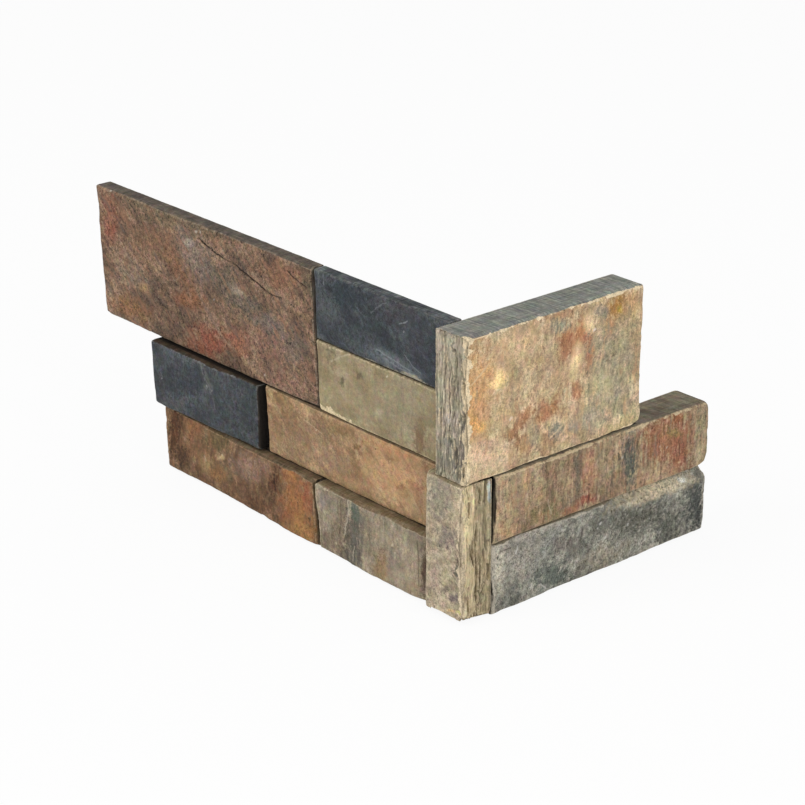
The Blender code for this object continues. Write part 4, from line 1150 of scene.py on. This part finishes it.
goldStone = {
    "faceOut": 21.6, "endOut": 18.9,
    "node": "upper_gold_stone", "slot": "gold_slate", "leg": "short", "seed": 80, "grid": 0.55,
    "shingle": 18, "shingleTurn": 30, "shingleRise": 0.35, "swell": 0.35, "grit": 0.3, "pits": 0.1,
    "push": 0.4,
    "swells": [(90, 74, 70, 16, 1.5)],
    "chips": 2, "grown": {"foot": 0.55, "right": 1.0}, "worn": {"left": 1.0, "foot": -1.2},
    "dents": [(103.6, 76.0, 2.4), (103.8, 152.6, 1.6)],
    "torn": "left",
    "pale": [("head", 1.1, 1.0), ("left", 3.4, 1.0), ("foot", 1.0, 0.9), ("right", 0.8, 0.6)],
    "glued": [("foot", 18.0, -16, 200)],
    "bedTurn": 78, "streakTurn": 88, "streakLong": 4.5, "streakSize": 1.6, "streakDepth": 1.7,
    "mottle": 1.8, "speck": 1.5, "hueSize": 6, "sawMarks": 0.35, "sawDepth": 0.45, "endLift": 1.5,
    "chipPale": 0.9, "hollowDark": 0.65,
    "flecks": [
        ((196, 150, 110), 3.8, 0.57, 0.68, 0.4), ((156, 140, 116), 3.2, 0.58, 0.68, 0.4),
        ((212, 192, 152), -2.0, 0.62, 0.72, 0.5),
    ],
    "tint": (1.1, 1.12, 1.11),
    "tones": [(164, 138, 108), (178, 152, 120), (188, 163, 130), (202, 178, 144)],
    "fresh": (232, 212, 176), "seamShade": (216, 190, 152), "crackShade": (120, 100, 76),
    "sideTones": [(98, 100, 99), (128, 129, 121), (152, 153, 142)],
    "tornTones": [(104, 97, 82), (136, 128, 110), (162, 151, 132), (192, 181, 162)],
    "stains": [
        (478, 400, 14, 48, 0, (204, 154, 104), 0.6),  # gold orange
        (477, 426, 8, 9, 0, (216, 164, 104), 0.7),  # bright orange
        (472, 398, 8, 12, 0, (214, 164, 112), 0.5),  # orange
        (488, 372, 13, 6, 60, (208, 160, 112), 0.6),  # red orange
        (501, 379, 7, 9, 0, (236, 204, 146), 0.75),  # yellow
        (494, 386, 5, 4, 0, (244, 214, 150), 0.7),  # yellow
        (480, 462, 24, 18, 0, (212, 186, 152), 0.7),  # cream foot
        (520, 345, 20, 12, -20, (208, 180, 140), 0.7),  # sand
        (568, 342, 7, 17, 8, (156, 104, 72), 0.8),  # rust
        (583, 334, 10, 12, 0, (172, 114, 80), 0.75),  # rust
        (592, 358, 4.5, 20, 0, (158, 104, 74), 0.75),  # rust line
        (578, 362, 5, 16, 10, (238, 204, 158), 0.8),  # pale core
        (579, 391, 5, 9, 0, (164, 106, 72), 0.65),  # rust fleck
        (563, 314, 16, 6, -20, (164, 128, 98), 0.75),  # pink
        (617, 307, 11, 14, 0, (158, 114, 60), 0.85),  # golden brown
        (621, 311, 3, 4, 0, (190, 160, 40), 0.5),  # ochre
        (611, 328, 8, 8, 0, (170, 124, 84), 0.6),  # rust
        (600, 300, 12, 5, -20, (200, 172, 136), 0.8),  # tan
        (633, 305, 6, 14, 0, (184, 142, 98), 0.5),  # tan right
        (590, 325, 5, 10, 0, (214, 186, 144), 0.7),  # yellow sand
        (600, 338, 6, 13, 0, (178, 154, 126), 0.6),  # grey
        (602, 312, 6, 6, 0, (146, 136, 122), 0.65),  # grey
        (562, 326, 9, 6, 0, (148, 142, 122), 0.8),  # grey green
        (530, 423, 9, 12, -50, (170, 148, 120), 0.3),  # dun
        (523, 418, 7, 14, 35, (162, 108, 74), 0.65),  # rust
        (547, 412, 8, 17, 35, (162, 108, 74), 0.7),  # rust
        (524, 443, 10, 12, 0, (160, 118, 86), 0.65),  # rust
        (546, 445, 7, 11, 0, (154, 122, 92), 0.65),  # rust
        (510, 434, 8, 5, -40, (158, 110, 78), 0.75),  # rust
        (534, 434, 5, 12, 0, (158, 144, 118), 0.7),  # grey core
        (556, 429, 7, 8, 0, (148, 140, 122), 0.85),  # grey
        (574, 429, 4, 4, 0, (142, 142, 132), 0.5),  # blue grey
        (590, 418, 14, 12, 0, (156, 148, 128), 0.6),  # grey
        (613, 380, 22, 40, 0, (156, 147, 122), 0.7),  # grey green
        (625, 345, 12, 30, 0, (158, 146, 116), 0.5),  # olive
        (603, 385, 8, 12, -10, (186, 172, 136), 0.6),  # sand
        (624, 425, 16, 6, -20, (184, 166, 122), 0.6),  # sand foot
        (570, 412, 14, 5, -25, (192, 150, 120), 0.5),  # pink
        (550, 372, 14, 24, 0, (178, 148, 120), 0.35),  # dun
        (500, 415, 12, 16, 0, (190, 162, 124), 0.5),  # sand
        (493, 445, 12, 6, -20, (186, 156, 132), 0.5),  # pink sand
    ],
    "lines": [
        ("pale", 0.8, [(502, 350), (490, 362), (474, 384), (466, 390)]),
        ("pale", 0.7, [(577, 408), (565, 422), (550, 438)]),
        ("pale", 0.5, [(484, 338), (486, 356)]),
        ("dark", 0.45, [(608, 362), (616, 356)]),
        ("pale", 0.4, [(590, 375), (600, 384)]),
    ],
    "dots": [
        (594.5, 331, 1.9, (240, 225, 212)), (511, 418.5, 2.2, (235, 212, 190)),
        (501, 381, 2, (240, 212, 150)), (612, 359, 1.5, (225, 200, 170)), (516, 391, 1.3, (220, 190, 150)),
        (573.5, 380, 1.6, (225, 195, 150)),
    ],
    "endStains": [
        (448, 345, 11, 14, 0, (176, 168, 148), 0.5),  # light head
        (440, 400, 4, 50, 0, (168, 160, 140), 0.4),  # light by the wall
        (453, 390, 6, 30, 0, (140, 132, 114), 0.5),  # dull middle
        (450, 455, 9, 22, 0, (118, 116, 106), 0.6),  # grey green foot
        (458, 440, 3, 30, 0, (110, 104, 92), 0.5),  # dark by the face
    ],
    "splits": [
        ((460.6, 380), (461, 400), 0.6, 3), ((459.5, 467), (459.5, 481), 0.6, 3),
        ((443, 356), (443.2, 369), 0.45, 1.8), ((437.8, 408), (438, 428), 0.5, 2.2),
        ((451, 440), (451.6, 470), 0.4, 1.3), ((446, 380), (447, 420), 0.35, 1.1),
    ],
}
makeStone("goldStone", goldStone)

middleReturnStone = {
    "faceOut": 22.7,
    "node": "middle_return_stone", "slot": "return_middle_slate", "leg": "short", "seed": 93,
    "shingle": 13, "shingleTurn": 5, "shingleRise": 0.45, "swell": 0.35, "grit": 0.35, "pits": 0.25,
    "push": 0.25,
    "ragged": 0.2, "arris": 0.3, "grown": {"left": 0.9, "head": 0.4, "foot": 0.45},
    "worn": {"right": 1.4, "left": -1.2, "head": -1.2, "foot": -1.2},
    "dents": [(155.4, 39.0, 2.8), (155.2, 75.4, 1.8)],
    "pale": [("foot", 0.6, 0.6, -300, 120), ("head", 1.1, 1.0), ("left", 0.6, 0.5)],
    "glued": [("left", 30), ("head", 19.0, -300, 103.2), ("foot", 18.0)],
    "bedTurn": 90, "bedLong": 2.6, "stainStreak": 1.4, "streakLong": 8.0, "streakSize": 1.8,
    "streakDepth": 2.4, "mottle": 2.0, "speck": 1.7, "hue": 0.7, "hueSize": 5, "sideLift": 1.22,
    "glueAndShadeMost": 1.0,
    "flecks": [
        ((112, 98, 84), 2.4, 0.58, 0.68, 0.5), ((168, 118, 88), 2.9, 0.57, 0.68, 0.45),
        ((186, 162, 136), -1.3, 0.66, 0.74, 0.5),
    ],
    "tint": (1.14, 1.22, 1.17),
    "tones": [(122, 100, 80), (138, 114, 92), (152, 127, 103), (168, 143, 118)],
    "fresh": (196, 176, 142), "glueAndShade": (11, 9, 7),
    "sideTones": [(88, 80, 64), (110, 101, 84), (132, 122, 104)],
    "stains": [
        (508, 500, 12, 28, 0, (171, 145, 117), 0.7),  # tan
        (518, 478, 12, 7, -20, (156, 136, 112), 0.45),  # grey
        (545, 515, 14, 8, -20, (130, 112, 80), 0.65),  # olive foot
        (508, 531, 9, 8, -20, (168, 132, 97), 0.5),  # orange foot
        (526, 480, 3.5, 14, 0, (188, 150, 116), 0.8),  # rust
        (580, 470, 4, 28, 0, (110, 98, 84), 0.75),  # dark band
        (590, 470, 7, 26, 0, (162, 118, 94), 0.7),  # rust band
        (588, 500, 8, 4.5, -20, (140, 84, 68), 0.85),  # brick foot
        (605, 452, 6, 25, 0, (156, 134, 110), 0.5),  # brown
        (613, 482, 3.5, 9, 0, (118, 100, 82), 0.7),  # brown
        (630, 464, 7, 25, 0, (92, 89, 81), 0.9),  # dark grey band
        (632, 428, 8, 6, 0, (150, 140, 122), 0.7),  # lilac
        (645, 428, 5, 12, 0, (150, 118, 92), 0.5),  # brown
        (667, 440, 20, 26, -10, (148, 98, 72), 0.75),  # red brown
        (678, 446, 8, 24, 0, (138, 86, 66), 0.65),  # brick
        (676, 415, 4.5, 8, 0, (140, 90, 62), 0.8),  # red
        (672, 432, 8, 4.5, 0, (142, 118, 76), 0.65),  # olive
        (656, 476, 16, 8, -20, (170, 140, 114), 0.6),  # tan
        (690, 438, 4, 17, 0, (138, 104, 82), 0.6),  # orange brown
        (700, 438, 5.5, 26, 0, (150, 133, 107), 0.8),  # tan end
        (572, 511, 9, 4.5, -20, (150, 98, 74), 0.6),  # rust foot
        (558, 472, 10, 16, 0, (150, 122, 98), 0.4),  # brown
        (536, 495, 10, 12, 0, (144, 120, 92), 0.4),  # brown
    ],
    "lines": [
        ("pale", 0.4, [(549, 500), (552, 515)]),
        ("pale", 0.4, [(625, 436), (622, 458)]),
        ("dark", 0.4, [(678, 440), (679, 455)]),
        ("dark", 0.3, [(663, 420), (664, 435)]),
        ("dark", 0.5, [(590, 495), (589, 504)]),
    ],
    "dots": [
        (622.5, 458, 1.7, (190, 186, 176)), (577, 446, 1.5, (220, 205, 170)),
        (659, 446, 1.2, (185, 160, 140)), (666, 447, 1.1, (190, 170, 150)),
        (519, 519, 1.2, (190, 150, 120)), (629, 438, 1.2, (180, 170, 155)),
    ],
}
makeStone("middleReturnStone", middleReturnStone)

lowerReturnStone = {
    "faceOut": 21,
    "node": "lower_return_stone", "slot": "return_lower_slate", "leg": "short", "seed": 104,
    "shingle": 15, "shingleTurn": 130, "swell": 0.6, "grit": 0.6, "pits": 0.35, "push": 1.4,
    "ragged": 0.25, "chips": 2.6, "grown": {"left": 0.9, "head": 0.45, "foot": 0.3, "right": 1.0},
    "tight": ["left"], "worn": {"right": 1.0, "left": -2.0, "head": -1.2},
    "pale": [("head", 1.2, 0.9, -300, 90), ("left", 2.0, 0.9)],
    "glued": [("left", 30), ("head", 12.5)],
    "bedTurn": 50, "streakTurn": 52, "streakLong": 3.0, "streakDepth": 1.3, "mottle": 3.0, "speck": 2.4,
    "hue": 0.35, "bump": 1.2,
    "flecks": [((92, 92, 88), -2.6, 0.57, 0.67, 0.55), ((180, 176, 167), -1.3, 0.64, 0.72, 0.6)],
    "tint": (1.22, 1.25, 1.2),
    "tones": [(100, 98, 92), (122, 119, 111), (136, 132, 123), (154, 149, 140)],
    "fresh": (184, 176, 160), "seamShade": (200, 197, 190), "crackShade": (58, 54, 50),
    "sideTones": [(110, 100, 82), (132, 121, 101), (156, 144, 122)],
    "stains": [
        (517, 560, 22, 18, -20, (150, 143, 134), 0.75),  # lilac grey
        (500, 565, 5, 24, 0, (178, 169, 155), 0.8),  # light left
        (553, 574, 17, 13, -20, (94, 99, 93), 0.75),  # dark green grey
        (550, 543, 27, 6, -59, (134, 132, 126), 0.6),  # blue grey
        (581, 530, 18, 2.6, -66, (150, 146, 138), 0.4),  # pale seam
        (564, 545, 9, 8, 0, (112, 101, 96), 0.5),  # violet brown
        (602, 556, 24, 9, -25, (142, 131, 116), 0.5),  # tan grey
        (636, 519, 22, 11, -22, (90, 88, 80), 0.75),  # dark grey
        (664, 526, 12, 13, 0, (84, 84, 78), 0.7),  # dark
        (693, 505, 9, 20, 0, (70, 71, 69), 0.85),  # blue black end
        (655, 490.5, 36, 6.2, -21, (196, 180, 154), 1),  # broken band
        (676, 484, 14, 5, -21, (184, 172, 150), 0.7),  # band end
        (683, 480.3, 3.6, 1.7, -20, (228, 225, 217), 0.9),  # white fleck
        (530, 535, 32, 4, -24, (156, 147, 139), 0.75),  # light head
        (610, 535, 10, 8, 0, (120, 116, 108), 0.5),  # grey
        (540, 590, 10, 3, -24, (150, 148, 142), 0.4),  # light foot
    ],
    "lines": [
        ("pale", 0.9, [(519, 546), (516, 554)]),
        ("pale", 0.7, [(540, 583), (546, 588)]),
        ("pale", 0.4, [(560, 525), (548, 545), (543, 560)]),
        ("dark", 0.5, [(583, 528), (580, 540)]),
        ("dark", 0.4, [(500, 552), (512, 548)]),
    ],
    "dots": [
        (600, 523, 1.5, (205, 203, 196)), (604, 536, 1.7, (205, 203, 196)),
        (626, 524, 1.5, (195, 193, 186)), (597, 528, 1.1, (190, 188, 180)),
        (655, 545, 1.2, (185, 183, 176)), (648, 517, 1.2, (175, 173, 168)),
        (532, 572, 1.1, (175, 173, 168)), (575, 560, 1.1, (180, 176, 168)), (690, 520, 1, (150, 152, 152)),
    ],
}
makeStone("lowerReturnStone", lowerReturnStone)

# resin in the joints
resinTones = {"deep": (26, 21, 16), "edge": (66, 55, 41), "cloud": 5.0, "rough": 0.5}
resin = bpy.data.materials.new("curedResin")
resin.use_nodes = True
resinShader = resin.node_tree.nodes["Principled BSDF"]
resinPlace = Wire(resin.node_tree).node("ShaderNodeTexCoord", output="Object").grow(perMetre)
resinCloud = resinPlace.cloud(resinTones["cloud"], 4.0, 0.6, 3.0)
resinShade = resinCloud.ramp((0.35, 0.7), [tone(*resinTones["deep"]), tone(*resinTones["edge"])])
resin.node_tree.links.new(resinShade.socket, resinShader.inputs["Base Color"])
resinGloss = resinTones["rough"] + (resinCloud - 0.5) * 0.3
resin.node_tree.links.new(resinGloss.socket, resinShader.inputs["Roughness"])
for node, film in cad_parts.items():
    if node.endswith("_film"):
        film.data.materials.clear()
        film.data.materials.append(resin)

# the beads in the end joints are pressed out until they meet the stones; sizes in millimetres
beadPlan = {
    "nodes": {"upperBead": "upper_end_film", "lowerBead": "lower_end_film", "cornerBead": "corner_end_film"},
    "across": 0.55, "out": 0.6, "up": 2.1,  # growth of a film on each side
    "round": 0.3,
}
for name, node in beadPlan["nodes"].items():
    bead = mergedCopy(name, node)
    growth = [beadPlan["across"], beadPlan["out"], beadPlan["up"]]  # these joints run across the long leg
    for point in bead.data.vertices:
        outward = point.normal.copy()
        for axis in range(3):
            point.co[axis] += growth[axis] / perMetre * (1 if outward[axis] > 0 else -1)
    rounded = bead.modifiers.new("rounded", "BEVEL")
    rounded.width = beadPlan["round"] / perMetre
    rounded.segments = 2
    bpy.ops.object.modifier_apply(modifier=rounded.name)
    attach(bead, "root")
    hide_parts(node)
print("made the resin")

# a plain pale floor that keeps the shadow
floorPlan = {
    "across": 12.0, "below": 0.0004,  # metres
    "shade": (0.93, 0.93, 0.925, 1.0), "rough": 0.9, "whiter": 0.92,
}
bpy.ops.object.select_all(action="DESELECT")
bpy.ops.mesh.primitive_plane_add(size=floorPlan["across"], location=(0, 0, -floorPlan["below"]))
floor = bpy.context.object
floor.name = "floor"
paper = bpy.data.materials.new("whitePaper")
paper.use_nodes = True
paperTree = paper.node_tree
paperShader = paperTree.nodes["Principled BSDF"]
paperShader.inputs["Base Color"].default_value = floorPlan["shade"]
paperShader.inputs["Roughness"].default_value = floorPlan["rough"]
paperShader.inputs["Specular IOR Level"].default_value = 0.0
seen = Wire(paperTree).node("ShaderNodeLightPath", output="Is Camera Ray")
glow = seen.node("ShaderNodeEmission", sockets={"Color": (1, 1, 1, 1), "Strength": 1.0})
mixed = glow.node(
    "ShaderNodeMixShader",
    sockets={0: seen * floorPlan["whiter"], 1: Wire(paperTree, paperShader.outputs[0]), 2: glow},
)
paperTree.links.new(mixed.socket, paperTree.nodes["Material Output"].inputs["Surface"])
floor.data.materials.append(paper)

# plain soft light
lightPlan = {
    "world": 0.5, "aim": (0.0, 0.0, 0.07),
    "keyPower": 28.0, "keySize": 1.3, "keyFrom": (-0.35, -2.1, 1.9),
    "fillPower": 24.5, "fillSize": 1.5, "fillFrom": (2.3, -0.25, 1.4),
}
world = bpy.data.worlds.new("studio")
bpy.context.scene.world = world
world.use_nodes = True
background = world.node_tree.nodes["Background"]
background.inputs["Color"].default_value = (1, 1, 1, 1)
seen = Wire(world.node_tree).node("ShaderNodeLightPath", output="Is Camera Ray")
strength = lightPlan["world"] + seen * (1.0 - lightPlan["world"])
world.node_tree.links.new(strength.socket, background.inputs["Strength"])
for which in ("key", "fill"):
    lampFrom = Vector(lightPlan[which + "From"])
    aim = (Vector(lightPlan["aim"]) - lampFrom).to_track_quat("-Z", "Y").to_euler()
    bpy.ops.object.light_add(type="AREA", location=lampFrom, rotation=aim)
    lamp = bpy.context.object
    lamp.name = which + "Light"
    lamp.data.size = lightPlan[which + "Size"]
    lamp.data.energy = lightPlan[which + "Power"]

# camera, fitted to the straight joints of the photograph
cameraPlan = {
    "from": (0.83711106, -0.7574152, 0.57158655),  # metres from the wall corner
    "turn": (1.18183149, 0.00368286, 0.86031645),
    "lens": 111.5, "sensor": 36.0, "nearest": 0.01,
}
east, north, height = cameraPlan["from"]
bpy.ops.object.camera_add(location=(wallX + east, wallY + north, height), rotation=cameraPlan["turn"])
eye = bpy.context.object
eye.data.lens = cameraPlan["lens"]
eye.data.sensor_width = cameraPlan["sensor"]
eye.data.clip_start = cameraPlan["nearest"]
bpy.context.scene.camera = eye
bpy.context.scene.view_settings.view_transform = "Standard"
print("set the floor, the light and the camera")
